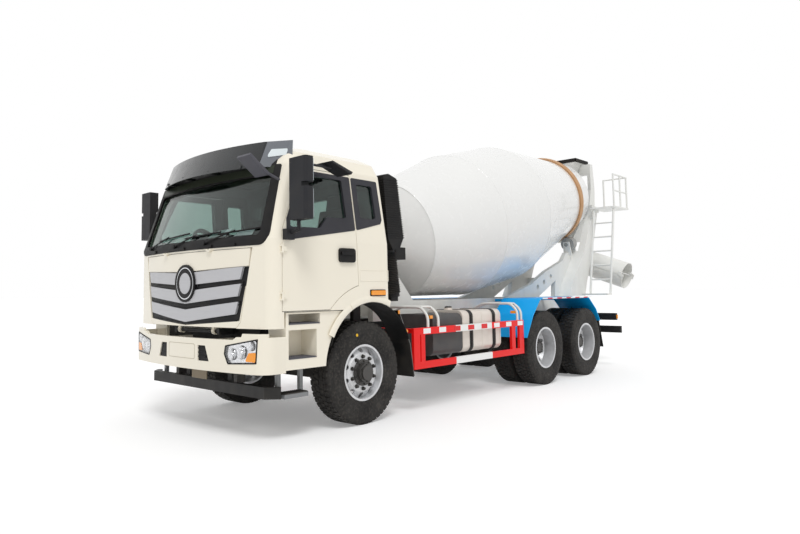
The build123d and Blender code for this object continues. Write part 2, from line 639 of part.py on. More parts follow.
with BuildPart() as door_glass_left:
    slab(side(CAB_HALF_W + 100), DOOR_WINDOW, -DOOR_REACH, DOOR_WINDOW_R)
    add(glass_layer, mode=Mode.INTERSECT)
keep(door_glass_left, "door_glass_left")
with BuildPart() as door_glass_right:
    add(mirror(door_glass_left.part, about=Plane.YZ, mode=Mode.PRIVATE))
keep(door_glass_right, "door_glass_right")

# ---------------------------------------------------------------- front panel and grille
GRILLE_SINK = 22.0
BADGE_Z = 1500.0
BADGE_R = 190.0
GRILLE_OUTLINE = [
    (-970.0, 1650.0), (-845.0, 1130.0), (0.0, 1075.0), (845.0, 1130.0), (970.0, 1650.0), (0.0, 1620.0),
]
with BuildPart() as front_panel:
    extrude(panel_outline(MOVING_GAP, PANEL_RELIEF), amount=-700)
    add(cab_layer(0, PANEL_T, CAB_LIP_Z, 1900), mode=Mode.INTERSECT)
    with BuildPart(mode=Mode.PRIVATE) as grille_recess:
        slab(across(-1700), GRILLE_OUTLINE, -700)
        rod(at(0, -1700, BADGE_Z), at(0, -1000, BADGE_Z), BADGE_R + 4)
        add(cab_layer(-20, GRILLE_SINK, CAB_LIP_Z, 1900), mode=Mode.INTERSECT)
    add(grille_recess.part, mode=Mode.SUBTRACT)
    for x in (-PANEL_HINGE_X, PANEL_HINGE_X):
        rod(at(x - 21, PANEL_HINGE_Y, PANEL_TOP_Z), at(x + 21, PANEL_HINGE_Y, PANEL_TOP_Z), 8)
        block((x - 21, x + 21), (PANEL_HINGE_Y - 6, -1428), (PANEL_TOP_Z - 18, PANEL_TOP_Z - 7))
        block((x - 21, x + 21), (PANEL_HINGE_Y - 6, PANEL_HINGE_Y), (PANEL_TOP_Z - 18, PANEL_TOP_Z))
        rod(
            at(x - 22, PANEL_HINGE_Y, PANEL_TOP_Z), at(x + 22, PANEL_HINGE_Y, PANEL_TOP_Z),
            PANEL_PIN_R + RUNNING_GAP, mode=Mode.SUBTRACT,
        )
keep(front_panel, "front_panel")

with BuildPart() as grille:
    # columns: height at the middle, height at the ends, half width
    for middle, ends, half in ((1535, 1575, 900), (1350, 1415, 870), (1165, 1245, 835)):
        slab(
            across(-1700),
            [
                (-half, ends + 68), (0, middle + 68), (half, ends + 68),
                (half - 40, ends - 50), (0, middle - 58), (-half + 40, ends - 50),
            ],
            -700,
        )
    with BuildSketch(across(-1700)):
        with Locations((0, BADGE_Z)):
            Circle(BADGE_R)
    extrude(amount=-700)
    add(cab_layer(-8, GRILLE_SINK, CAB_LIP_Z, 1900), mode=Mode.INTERSECT)
keep(grille, "grille")

# ---------------------------------------------------------------- visor, mirrors, inside
VISOR_T = 14.0


def visor_plan(z, front, bend_y, bend_x, wing_y, wing_x):
    """Plan of the sun visor: a bowed front between two bends, then wings back along the roof."""
    with BuildSketch(level(z)) as plan:
        with BuildLine():
            ThreePointArc((-bend_x, bend_y), (0, front), (bend_x, bend_y))
            Polyline(
                (bend_x, bend_y), (wing_x, wing_y), (wing_x - VISOR_T, wing_y),
                (bend_x - VISOR_T / 2, bend_y + VISOR_T),
            )
            ThreePointArc(
                (bend_x - VISOR_T / 2, bend_y + VISOR_T), (0, front + VISOR_T),
                (-bend_x + VISOR_T / 2, bend_y + VISOR_T),
            )
            Polyline(
                (-bend_x + VISOR_T / 2, bend_y + VISOR_T), (-wing_x + VISOR_T, wing_y),
                (-wing_x, wing_y), (-bend_x, bend_y),
            )
        make_face()
    return plan.sketch


with BuildPart() as sun_visor:
    # columns: height, front, bends' place and half width, wings' place and half width
    loft(
        [visor_plan(2615, -1385, -1205, 910, -985, 1150), visor_plan(2885, -1255, -1110, 880, -955, 1130)],
        ruled=True,
    )
    # four arms from the windscreen header out to the visor
    for x, reach in ((-700, -1280), (-240, -1360), (240, -1360), (700, -1280)):
        block((x - 15, x + 15), (reach, -1100), (2625, 2650))
    for hand in (-1, 1):
        low, high = sorted((hand * 1060, hand * 1140))
        block((low, high), (-1020, -990), (2650, 2680))
    with BuildPart(mode=Mode.PRIVATE) as cab_block:
        cab_form([1900, 2640, 2770, 2840], 0)
    add(cab_block.part, mode=Mode.SUBTRACT)
keep(sun_visor, "sun_visor")

SEAT_X = 620.0
WHEEL_CENTRE = (-SEAT_X, -790.0, 1960.0)
with BuildPart() as cab_interior:
    slab(
        side(-1150),
        [(-1400, 1600), (-1080, 1640), (-880, 1700), (-860, 1830), (-900, 1890), (-1400, 1870)],
        2300, 20,
    )
    add(cab_room.part, mode=Mode.INTERSECT)
    rod(at(-SEAT_X, -960, 1820), at(*WHEEL_CENTRE), 35)
    column = Plane(origin=at(*WHEEL_CENTRE), z_dir=(0, 170, 140))
    with BuildSketch(Plane(origin=column.origin, x_dir=(1, 0, 0), z_dir=column.z_dir)):
        Circle(225)
        Circle(200, mode=Mode.SUBTRACT)
        Circle(70)
        Rectangle(410, 50)
    extrude(amount=24, both=True)
    for x in (-SEAT_X, SEAT_X):
        block((x - 240, x + 240), (-520, -20), (1560, 1680))
        block((x - 170, x + 170), (-450, -60), (CAB_FLOOR_Z + CAB_FLOOR_T, 1560))
        slab(side(x - 230), [(-80, 1680), (40, 1680), (150, 2330), (60, 2330)], 460, 25)
        slab(side(x - 130), [(60, 2310), (150, 2310), (170, 2500), (90, 2500)], 260, 25)
keep(cab_interior, "cab_interior")


def mirror_piece(name, hand):
    """Door mirror: a tall housing with a notch, its arm and foot, and a wide-angle mirror above."""
    with BuildPart() as piece:
        block((1330, 1560), (-1170, -1060), (2060, 2360))
        block((1330, 1560), (-1170, -1060), (2400, 2640))
        block((1330, 1500), (-1170, -1080), (2350, 2410))
        fillet(piece.edges().filter_by(Axis.Z).group_by(Axis.X)[-1], 30)
        rod(at(1400, -1115, 2080), at(1400, -1115, 1960), 18)
        block((CAB_HALF_W + RUNNING_GAP, 1300), (-1180, -1080), (1885, 1985))
        rod(at(1270, -1115, 1950), at(1415, -1115, 1975), 20)
        if hand > 0:
            rod(at(1400, -1070, 2600), at(1400, -700, 2600), 12)
            slab(side(1300), [(-800, 2640), (-770, 2650), (-500, 2570), (-520, 2545)], 200)
        piece_part = piece.part
    with BuildPart() as placed:
        add(piece_part if hand > 0 else mirror(piece_part, about=Plane.YZ, mode=Mode.PRIVATE))
    keep(placed, name)


mirror_piece("mirror_left", 1)
mirror_piece("mirror_right", -1)

with BuildPart() as front_mirror:
    rod(at(1140, -1080, 2450), at(1110, -1340, 2550), 13)
    with BuildPart(mode=Mode.PRIVATE) as cab_mass:
        cab_form([1900, 2640, 2770, 2840], 0)
    add(cab_mass.part, mode=Mode.SUBTRACT)
    slab(side(970), [(-1505, 2650), (-1492, 2670), (-1275, 2512), (-1290, 2490)], 205)
keep(front_mirror, "front_mirror")

# ---------------------------------------------------------------- bumper, lamps, steps
LAMP_OUTLINE = [(705.0, 823.0), (720.0, 904.0), (1139.0, 975.0), (1124.0, 748.0), (755.0, 728.0)]
VENT_OUTLINE = [(300.0, 740.0), (300.0, 890.0), (420.0, 890.0), (480.0, 740.0)]


def bumper_plan(z, inset, rear=BUMPER_REAR_Y):
    """Plan of the bumper: bowed front and rounded corners."""
    with BuildSketch(level(z)) as plan:
        with BuildLine():
            half, corner = BUMPER_HALF_W - inset, BUMPER_CORNER_Y + inset
            ThreePointArc((-half, corner), (0, BUMPER_FRONT_Y + inset), (half, corner))
            Line((half, corner), (half, rear))
            Line((half, rear), (-half, rear))
            Line((-half, rear), (-half, corner))
        make_face()
        fillet(plan.vertices().sort_by(Axis.Y)[0:2], 150)
    return plan.sketch


def bumper_skin(near, far):
    """The bumper's skin between two insets, over its whole height."""
    height = BUMPER_TOP_Z - BUMPER_BOTTOM_Z
    with BuildPart() as outer:
        extrude(bumper_plan(BUMPER_BOTTOM_Z, near), amount=height)
    with BuildPart() as inner:
        extrude(bumper_plan(BUMPER_BOTTOM_Z - 1, far, BUMPER_REAR_Y + 50), amount=height + 2)
    return outer.part - inner.part


LAMP_DEPTH = 26.0
# the top edge dips in the middle, where the tilting cab's grille passes
BUMPER_DIP = [
    (-880.0, BUMPER_TOP_Z + 5), (-820.0, BUMPER_TOP_Z - 28),
    (820.0, BUMPER_TOP_Z - 28), (880.0, BUMPER_TOP_Z + 5),
]
with BuildPart() as lamp_cut:
    for hand in (-1, 1):
        slab(across(-1700), [(hand * x, z) for x, z in LAMP_OUTLINE], -600)
with BuildPart() as bumper:
    add(bumper_skin(0, BUMPER_WALL))
    slab(across(-1700), BUMPER_DIP, -600, mode=Mode.SUBTRACT)
    for hand in (-1, 1):
        slab(across(-1700), [(hand * x, z) for x, z in VENT_OUTLINE], -600, mode=Mode.SUBTRACT)
    with BuildPart(mode=Mode.PRIVATE) as lamp_pocket:
        add(bumper_skin(-10, LAMP_DEPTH))
        add(lamp_cut.part, mode=Mode.INTERSECT)
    add(lamp_pocket.part, mode=Mode.SUBTRACT)
    for hand in (-1, 1):
        low, high = sorted((hand * (MEMBER_HALF_W - 70), hand * MEMBER_HALF_W))
        block((low, high), (-1470, -1101), (905, 945))
keep(bumper, "bumper")

with BuildPart() as headlamps:
    add(bumper_skin(0, LAMP_DEPTH))
    add(lamp_cut.part, mode=Mode.INTERSECT)
keep(headlamps, "headlamps")

UNDERRUN_Y = -1240.0
with BuildPart() as front_underrun:
    slab(
        level(405),
        [
            (-1040, UNDERRUN_Y), (1040, UNDERRUN_Y), (1150, UNDERRUN_Y + 110),
            (1110, UNDERRUN_Y + 145), (1010, UNDERRUN_Y + 60), (-1010, UNDERRUN_Y + 60),
            (-1110, UNDERRUN_Y + 145), (-1150, UNDERRUN_Y + 110),
        ],
        110,
    )
    for hand in (-1, 1):
        low, high = sorted((hand * 360, hand * 430))
        block((low, high), (UNDERRUN_Y + 60, UNDERRUN_Y + 160), (420, RAIL_BOTTOM_Z))
        # upright bore for a towing pin
        pin_at = (hand * 700, UNDERRUN_Y + 30)
        rod(at(*pin_at, 400), at(*pin_at, 520), FRONT_TOW_R, mode=Mode.SUBTRACT)
keep(front_underrun, "front_underrun")

STEP_IN_X = 960.0
SKIRT_X = 1222.0
with BuildPart() as step_boxes:
    with BuildSketch(side(STEP_IN_X)):
        with BuildLine():
            Polyline((BUMPER_REAR_Y + 2, SILL_Z - 10), (BUMPER_REAR_Y + 2, 672), (-625, 672))
            ThreePointArc(
                (-625, 672), (ARCH_Y - ARCH_R * math.cos(0.45), ARCH_Z + ARCH_R * math.sin(0.45)),
                (ARCH_Y - ARCH_R * math.cos(0.95), ARCH_Z + ARCH_R * math.sin(0.95)),
            )
            Line(
                (ARCH_Y - ARCH_R * math.cos(0.95), ARCH_Z + ARCH_R * math.sin(0.95)),
                (ARCH_Y - ARCH_R * math.cos(0.95) - 60, SILL_Z - 10),
            )
            Line(
                (ARCH_Y - ARCH_R * math.cos(0.95) - 60, SILL_Z - 10),
                (BUMPER_REAR_Y + 2, SILL_Z - 10),
            )
        make_face()
    extrude(amount=SKIRT_X - STEP_IN_X)
    # two foot pockets; columns: floor, ceiling, rear end
    for low, high, rear in ((770, 1040, -745), (1092, 1190, -700)):
        block((STEP_IN_X + 30, SKIRT_X + 10), (-1095, rear), (low, high), mode=Mode.SUBTRACT)
    block((STEP_IN_X + 60, STEP_IN_X + 200), (-1095, -800), (400, 440))
    for y in (-1090, -815):
        block((STEP_IN_X + 60, STEP_IN_X + 100), (y - 10, y + 30), (400, 680))
    block((RAIL_OUT_X, STEP_IN_X + 5), (-1040, -960), (900, 980))
    both_sides()
keep(step_boxes, "step_boxes")

# ---------------------------------------------------------------- mudguards
GUARD_T = 12.0


def guard_sheet(points, x0, x1, radius):
    """A bent mudguard sheet: a path in side view, given a thickness and run across."""
    with BuildSketch(side(x0)) as section:
        with BuildLine() as path:
            FilletPolyline(*points, radius=radius)
        trace(path.edges(), line_width=GUARD_T)
    extrude(section.sketch, amount=x1 - x0)


FENDER_IN_X = 600.0
FENDER_OUT_X = 1242.0
FENDER_TOP_Z = 1262.0
with BuildPart() as rear_fenders:
    guard_sheet(
        [
            (3212, 715), (3410, 1030), (3640, FENDER_TOP_Z), (5230, FENDER_TOP_Z),
            (5500, 1060), (5640, 860),
        ],
        FENDER_IN_X, FENDER_OUT_X, 120,
    )
    for y in (3720, 4450, 5180):
        block((RAIL_OUT_X, FENDER_IN_X + 40), (y - 25, y + 25), (1215, FENDER_TOP_Z - GUARD_T / 2))
    both_sides()
keep(rear_fenders, "rear_fenders")

with BuildPart() as mudflaps:
    # front: a sheet behind the wheel arch, bent three times
    slab(
        side(900),
        [(500, 1180), (512, 1180), (592, 1020), (700, 800), (765, 421), (753, 421), (688, 797), (580, 1015)],
        290,
    )
    block((RAIL_OUT_X, 905), (600, 640), (925, 960))
    # rear: hung below the fenders' rear ends
    slab(side(FENDER_IN_X + 20), [(5634, 856), (5652, 856), (5782, 413), (5764, 413)], 600)
    block((RAIL_OUT_X, FENDER_IN_X + 25), (5634, 5664), (800, 840))
    both_sides()
keep(mudflaps, "mudflaps")

# ---------------------------------------------------------------- side guards and tanks
GUARD_FRONT_Y = 755.0
GUARD_REAR_Y = 3190.0
GUARD_X = (1170.0, 1205.0)
with BuildPart() as side_guards:
    for low in (499, 887):
        block(GUARD_X, (GUARD_FRONT_Y, GUARD_REAR_Y), (low, low + 80))
    for y0, y1 in ((755, 865), (884, 958), (2872, 2963), (3075, 3190)):
        block(GUARD_X, (y0, y1), (499, 967))
    for y in (921, 2917):
        block((RAIL_OUT_X, GUARD_X[0]), (y - 30, y + 30), (900, 950))
    both_sides()
keep(side_guards, "side_guards")

TANK_X = (560.0, 1140.0)
TANK_Z = (610.0, 1140.0)
TANK_R = 85.0


def tank_body(x, y, z, radius):
    """A tank with its long edges rounded."""
    with BuildSketch(across(y[0])) as section:
        with Locations((sum(x) / 2, sum(z) / 2)):
            RectangleRounded(x[1] - x[0], z[1] - z[0], radius)
    extrude(section.sketch, amount=-(y[1] - y[0]))


STRAP_T = 6.0
with BuildPart() as fuel_tank:
    tank_body(TANK_X, (1800, 2690), TANK_Z, TANK_R)
    with Locations(at(850, 1900, TANK_Z[1])):
        Cylinder(55, 60)
keep(fuel_tank, "fuel_tank")

STRAP_W = 70.0
with BuildPart() as tank_straps:
    for y in (1990, 2520):
        with BuildSketch(across(y - STRAP_W / 2)):
            with Locations((sum(TANK_X) / 2, sum(TANK_Z) / 2)):
                RectangleRounded(
                    TANK_X[1] - TANK_X[0] + 2 * STRAP_T + 1, TANK_Z[1] - TANK_Z[0] + 2 * STRAP_T + 1,
                    TANK_R + STRAP_T,
                )
                RectangleRounded(
                    TANK_X[1] - TANK_X[0] + 1, TANK_Z[1] - TANK_Z[0] + 1, TANK_R, mode=Mode.SUBTRACT,
                )
        extrude(amount=-STRAP_W)
        block((RAIL_OUT_X, TANK_X[0] - STRAP_T), (y - 35, y + 35), (RAIL_BOTTOM_Z, 960))
    # cradle between the straps, against the tank's inner face
    block((RAIL_OUT_X, TANK_X[0]), (2150, 2360), (800, 960))
keep(tank_straps, "tank_straps")

with BuildPart() as chassis_units:
    # urea tank on the left
    tank_body((TANK_X[0] + 20, TANK_X[1]), (1190, 1790), (TANK_Z[0], TANK_Z[1] - 30), TANK_R)
    for y in (1290, 1690):
        block((RAIL_OUT_X, TANK_X[0] + 20), (y - 35, y + 35), (RAIL_BOTTOM_Z, 960))
    # battery box and silencer on the right
    tank_body((-1120, -560), (1000, 1620), (640, 1060), 30)
    for y in (1120, 1500):
        block((-560, -RAIL_OUT_X), (y - 35, y + 35), (RAIL_BOTTOM_Z, 960))
    with Locations(Location(at(-820, 2230, 830), (90, 0, 0))):
        Cylinder(235, 900)
    rod(at(-820, 1800, 830), at(-820, 1710, 830), 60)
    for y in (1980, 2480):
        block((-600, -RAIL_OUT_X), (y - 35, y + 35), (RAIL_BOTTOM_Z, 900))
keep(chassis_units, "chassis_units")

# ---------------------------------------------------------------- rear end
with BuildPart() as rear_underrun:
    block((-1200, 1200), (6590, 6640), (600, 720))
    for hand in (-1, 1):
        low, high = sorted((hand * 340, hand * RAIL_OUT_X))
        slab(side(low), [(FRAME_REAR_Y - 120, RAIL_BOTTOM_Z), (FRAME_REAR_Y, RAIL_BOTTOM_Z),
                         (6590, 720), (6590, 600), (6480, 600)], high - low)
keep(rear_underrun, "rear_underrun")

with BuildPart() as tail_lamps:
    block((RAIL_OUT_X, 1205), (6385, 6450), (835, 957))
    both_sides()
keep(tail_lamps, "tail_lamps")

# ---------------------------------------------------------------- subframe and drum
drum_t = math.radians(DRUM_TILT)


def on_drum_axis(station, down=0.0, x=0.0):
    """A point on the drum's axis, at a station from its front head, moved square to it."""
    return at(
        x, DRUM_PIVOT_Y + station * math.cos(drum_t) + down * math.sin(drum_t),
        DRUM_PIVOT_Z + station * math.sin(drum_t) - down * math.cos(drum_t),
    )


drum_axis = Axis(on_drum_axis(0), (0, math.cos(drum_t), math.sin(drum_t)))
# sketch x runs along the drum's axis from its front head, sketch y is the radius upwards
drum_plane = Plane(origin=on_drum_axis(0), x_dir=(0, math.cos(drum_t), math.sin(drum_t)), z_dir=(1, 0, 0))

# columns: station along the axis, outer radius
DRUM_SECTIONS = (
    (-40.0, 380.0),
    (310.0, 798.0),
    (1665.0, 1085.0),
    (2900.0, 1130.0),
    (RING_STATION, 785.0),
    (5330.0, 690.0),
)
MOUTH_STATION = DRUM_SECTIONS[-1][0]
MOUTH_R = DRUM_SECTIONS[-1][1]
with BuildPart() as drum:
    outer = [(s, r) for s, r in DRUM_SECTIONS]
    inner = [(s, r - DRUM_WALL) for s, r in reversed(DRUM_SECTIONS)]
    inner[0] = (MOUTH_STATION, MOUTH_R - DRUM_WALL)
    inner[-1] = (DRUM_SECTIONS[0][0] + DRUM_WALL, DRUM_SECTIONS[0][1] - DRUM_WALL)
    with BuildSketch(drum_plane):
        with BuildLine():
            Polyline(
                (DRUM_SECTIONS[0][0], 0), *outer, *inner, (DRUM_SECTIONS[0][0] + DRUM_WALL, 0), close=True,
            )
        make_face()
    revolve(axis=drum_axis)
keep(drum, "drum")

with BuildPart() as drum_ring:
    shell_r = DRUM_SECTIONS[4][1]
    slope = (DRUM_SECTIONS[3][1] - shell_r) / (RING_STATION - DRUM_SECTIONS[3][0])
    rear_slope = (shell_r - MOUTH_R) / (MOUTH_STATION - RING_STATION)
    half = RING_W / 2
    with BuildSketch(drum_plane):
        with BuildLine():
            Polyline(
                (RING_STATION - half, shell_r + slope * half), (RING_STATION - half, RING_R),
                (RING_STATION + half, RING_R), (RING_STATION + half, shell_r - rear_slope * half),
                (RING_STATION, shell_r),
                close=True,
            )
        make_face()
    revolve(axis=drum_axis)
keep(drum_ring, "drum_ring")

ROLLER_DOWN = math.sqrt((RING_R + ROLLER_R + 0.5) ** 2 - ROLLER_X**2)
ROLLER_HALF_W = 65.0
ROLLER_SHAFT_R = 35.0
BEARING_OUT = 80.0          # from the roller's middle to each bearing plate
axis_dir = Vector(0, math.cos(drum_t), math.sin(drum_t))
for hand, name in ((1, "left"), (-1, "right")):
    centre = Vector(*on_drum_axis(RING_STATION, ROLLER_DOWN, hand * ROLLER_X))
    with BuildPart() as roller:
        rod(tuple(centre - axis_dir * ROLLER_HALF_W), tuple(centre + axis_dir * ROLLER_HALF_W), ROLLER_R)
        rod(tuple(centre - axis_dir * 125), tuple(centre + axis_dir * 125), ROLLER_SHAFT_R)
    keep(roller, f"roller_{name}")

GEAR_FLANGE_R = 330.0
GEARBOX_R = 250.0
with BuildPart() as drum_drive:
    with BuildSketch(drum_plane):
        with BuildLine():
            Polyline(
                (DRUM_SECTIONS[0][0] - RUNNING_GAP, 0),
                (DRUM_SECTIONS[0][0] - RUNNING_GAP, GEAR_FLANGE_R - 60),
                (-90, GEAR_FLANGE_R - 60), (-90, GEARBOX_R), (-380, GEARBOX_R), (-380, 170),
                (-560, 170), (-560, 0),
                close=True,
            )
        make_face()
    revolve(axis=drum_axis)
keep(drum_drive, "drum_drive")

STAND_X = (400.0, 480.0)
POST_X = (560.0, 680.0)
SUB_BEAM_X = (350.0, 430.0)
with BuildPart() as subframe:
    block(SUB_BEAM_X, (900, 6330), (RAIL_TOP_Z, SUBFRAME_TOP_Z))
    # front stand: a plate with a raked rear edge
    slab(
        side(SUB_BEAM_X[0]),
        [(950, SUBFRAME_TOP_Z), (1690, SUBFRAME_TOP_Z), (1408, 1578), (1330, 1760), (1040, 1700)],
        SUB_BEAM_X[1] - SUB_BEAM_X[0],
    )
    # rear stand: a rising beam with lightening holes, the roller's seat and the leaning post
    slab(
        side(STAND_X[0]),
        [
            (3956, SUBFRAME_TOP_Z), (4979, SUBFRAME_TOP_Z), (5565, 1532), (5900, 1700), (6330, 1700),
            (6330, 2060), (6060, 2060), (5896, 1904), (5288, 1714), (4756, 1487),
        ],
        STAND_X[1] - STAND_X[0],
    )
    slab(
        side(STAND_X[0]),
        [(5560, SUBFRAME_TOP_Z), (6330, SUBFRAME_TOP_Z), (6330, 1760), (5900, 1760), (5600, 1540)],
        STAND_X[1] - STAND_X[0],
    )
    for y, z in ((4964, 1436), (5186, 1522), (5436, 1619)):
        with Locations(Location(at(STAND_X[0], y, z), (0, 90, 0))):
            Cylinder(42, 400, mode=Mode.SUBTRACT)
    slab(
        side(STAND_X[1]),
        [
            (5700, SUBFRAME_TOP_Z), (6340, SUBFRAME_TOP_Z), (6430, 1520), (6740, 2120), (7030, 2950),
            (6800, 2990), (6760, 2800), (6620, 2560), (6480, 2300), (6330, 2060), (5900, 1560),
        ],
        POST_X[1] - STAND_X[1],
    )
    # above the roller's seat the post stands clear of the drum
    block((STAND_X[1], POST_X[0]), (6000, 7100), (2100, 3000), mode=Mode.SUBTRACT)
    # two bearing plates carry each roller's shaft
    for station in (-BEARING_OUT - 30, BEARING_OUT):
        bearing = Plane(
            origin=tuple(Vector(*on_drum_axis(RING_STATION + station, ROLLER_DOWN, ROLLER_X))),
            x_dir=(1, 0, 0), z_dir=(0, math.cos(drum_t), math.sin(drum_t)),
        )
        slab(bearing, [(-60, -50), (60, -50), (75, 210), (-75, 210)], 30)
    rod(
        on_drum_axis(RING_STATION - 200, ROLLER_DOWN, ROLLER_X),
        on_drum_axis(RING_STATION + 200, ROLLER_DOWN, ROLLER_X), ROLLER_SHAFT_R + RUNNING_GAP,
        mode=Mode.SUBTRACT,
    )
    both_sides()
    rod(on_drum_axis(-400), on_drum_axis(0), GEARBOX_R + RUNNING_GAP, mode=Mode.SUBTRACT)
keep(subframe, "subframe")

# beams that join the two rails and the subframe's two sides, face to face with them
with BuildPart() as cross_members:
    # columns: place behind the front axle, lower height, upper height
    for y, low, high in (
        (-1060, 790, 970),
        (1330, 930, 1000),
        (2700, 830, 1000),
        (BOGIE_Y, 800, 1000),
        (6360, 770, 990),
    ):
        block((-MEMBER_HALF_W, MEMBER_HALF_W), (y - 40, y + 40), (low, high))
    # the cab's tilt tube between its two arms
    tilt_half = RAIL_OUT_X - TILT_ARM_W
    rod(at(-tilt_half, TILT_AXIS_Y, TILT_AXIS_Z), at(tilt_half, TILT_AXIS_Y, TILT_AXIS_Z), TILT_PIN_R)
    # towing eye on the last frame beam
    block((-TOW_EYE_HALF_W, TOW_EYE_HALF_W), (6400, 6545), (800, 900))
    rod(at(-100, 6500, 850), at(100, 6500, 850), TOW_EYE_R, mode=Mode.SUBTRACT)
    for y in (1000, 2200, 3400, 4600, 5700, 6290):
        block((-SUB_BEAM_X[0], SUB_BEAM_X[0]), (y - 40, y + 40), (RAIL_TOP_Z + 60, SUBFRAME_TOP_Z - 40))
    # cradle plate under the gearbox, and the cross tie between the posts
    block((-SUB_BEAM_X[0], SUB_BEAM_X[0]), (1080, 1290), (1610, 1800))
    block((-STAND_X[0], STAND_X[0]), (6180, 6300), (1500, 1620))
    rod(on_drum_axis(-400), on_drum_axis(0), GEARBOX_R + RUNNING_GAP, mode=Mode.SUBTRACT)
keep(cross_members, "cross_members")

# ---------------------------------------------------------------- hopper, outlet, chute
SHEET = 8.0


def funnel(top, bottom, wall):
    """A funnel between two level rectangles (height, half width, front, rear): its form and its inside."""
    def section(height, half, front, rear, inset=0.0):
        with BuildSketch(level(height)) as plan:
            with Locations((0, (front + rear) / 2)):
                Rectangle(2 * (half - inset), rear - front - 2 * inset)
        return plan.sketch

    with BuildPart() as outer:
        loft([section(*bottom), section(*top)], ruled=True)
    with BuildPart() as inner:
        loft([section(bottom[0] - 1, *bottom[1:], wall), section(top[0] + 1, *top[1:], wall)], ruled=True)
    return outer.part, inner.part


HOPPER_TOP_Z = 3880.0
hopper_form, hopper_inside = funnel((HOPPER_TOP_Z, 470, 6600, 7120), (3330, 210, 6560, 6830), SHEET)
with BuildPart() as hopper:
    add(hopper_form)
    # spout into the drum's mouth
    slab(side(-210), [(6560, 3330), (6830, 3330), (6560, 3080), (6330, 3040)], 420)
    slab(side(-202), [(6568, 3340), (6822, 3340), (6548, 3075), (6320, 3030)], 404, mode=Mode.SUBTRACT)
    # legs down to the leaning posts
    for hand in (-1, 1):
        low, high = sorted((hand * 400, hand * 620))
        slab(side(low), [(6890, 3600), (7000, 3600), (7000, 3800), (6890, 3800)], high - low)
        low, high = sorted((hand * POST_X[0], hand * (POST_X[0] + 60)))
        slab(side(low), [(6800, 2990), (7030, 2950), (7060, 3300), (7000, 3800), (6890, 3800),
                         (6890, 3300)], high - low)
    add(hopper_inside, mode=Mode.SUBTRACT)
keep(hopper, "hopper")

outlet_form, outlet_inside = funnel((2900, 540, 6800, 7330), (2330, 200, 6880, 7240), SHEET)
with BuildPart() as outlet:
    add(outlet_form)
    for hand in (-1, 1):
        low, high = sorted((hand * 500, hand * POST_X[0]))
        block((low, high), (6830, 6960), (2820, 2890))
    add(outlet_inside, mode=Mode.SUBTRACT)
keep(outlet, "outlet")

with BuildPart() as chute_post:
    block((-120, 120), (FRAME_REAR_Y - 120, CHUTE_AXIS_Y + 60), (1120, 1230))
    rod(at(0, CHUTE_AXIS_Y, 1200), at(0, CHUTE_AXIS_Y, 1500), 60)
    rod(at(0, CHUTE_AXIS_Y, 1500), at(0, CHUTE_AXIS_Y, 1688), 40)
keep(chute_post, "chute_post")

chute_rad = math.radians(CHUTE_SLOPE)
CHUTE_HINGE_X = 120.0       # level tilt axis, out from the swing axis
CHUTE_HINGE_Z = 2010.0


def chute_point(along, up=0.0, across_by=0.0):
    """A point in the chute's own terms: along the trough from its tilt axis, up square to it."""
    return at(
        CHUTE_HINGE_X + along * math.cos(chute_rad) + up * math.sin(chute_rad),
        CHUTE_AXIS_Y + across_by,
        CHUTE_HINGE_Z - along * math.sin(chute_rad) + up * math.cos(chute_rad),
    )


chute_dir = Vector(math.cos(chute_rad), 0, -math.sin(chute_rad))
chute_up = Vector(math.sin(chute_rad), 0, math.cos(chute_rad))
FORK_HALF = CHUTE_R + 12.0
TRUNNION_R = 16.0
with BuildPart() as chute_swivel:
    rod(at(0, CHUTE_AXIS_Y, 1502), at(0, CHUTE_AXIS_Y, 1690), 62)
    rod(at(0, CHUTE_AXIS_Y, 1500), at(0, CHUTE_AXIS_Y, 1689), 40 + RUNNING_GAP, mode=Mode.SUBTRACT)
    block((-62, 62), (CHUTE_AXIS_Y - FORK_HALF - 14, CHUTE_AXIS_Y + FORK_HALF + 14), (1702, 1722))
    for side_of in (-1, 1):
        low, high = sorted((side_of * FORK_HALF, side_of * (FORK_HALF + 14)))
        slab(
            Plane(origin=at(0, CHUTE_AXIS_Y + high, 0), x_dir=(1, 0, 0), z_dir=(0, -1, 0)),
            [(-62, 1702), (62, 1702), (CHUTE_HINGE_X + 40, CHUTE_HINGE_Z + 40),
             (CHUTE_HINGE_X - 40, CHUTE_HINGE_Z + 40)],
            14,
        )
        with Locations(Location(at(CHUTE_HINGE_X, CHUTE_AXIS_Y + (low + high) / 2, CHUTE_HINGE_Z), (90, 0, 0))):
            Cylinder(TRUNNION_R + PIVOT_GAP, 40, mode=Mode.SUBTRACT)
    rod(at(0, CHUTE_AXIS_Y, 1689), at(0, CHUTE_AXIS_Y, 1703), 62)
keep(chute_swivel, "chute_swivel")


def half_tube(start, end, up_sign, gap):
    """A half-round trough from one place along the chute to another, below or above its seam."""
    plane = Plane(origin=chute_point(start), x_dir=(0, 1, 0), z_dir=chute_dir)
    up_local = plane.y_dir.dot(chute_up)
    with BuildSketch(plane) as section:
        Circle(CHUTE_R)
        Circle(CHUTE_R - CHUTE_WALL, mode=Mode.SUBTRACT)
        with Locations((0, -up_sign * up_local * (CHUTE_R - gap))):
            Rectangle(2 * CHUTE_R + 10, 2 * CHUTE_R, mode=Mode.SUBTRACT)
    extrude(section.sketch, amount=end - start)


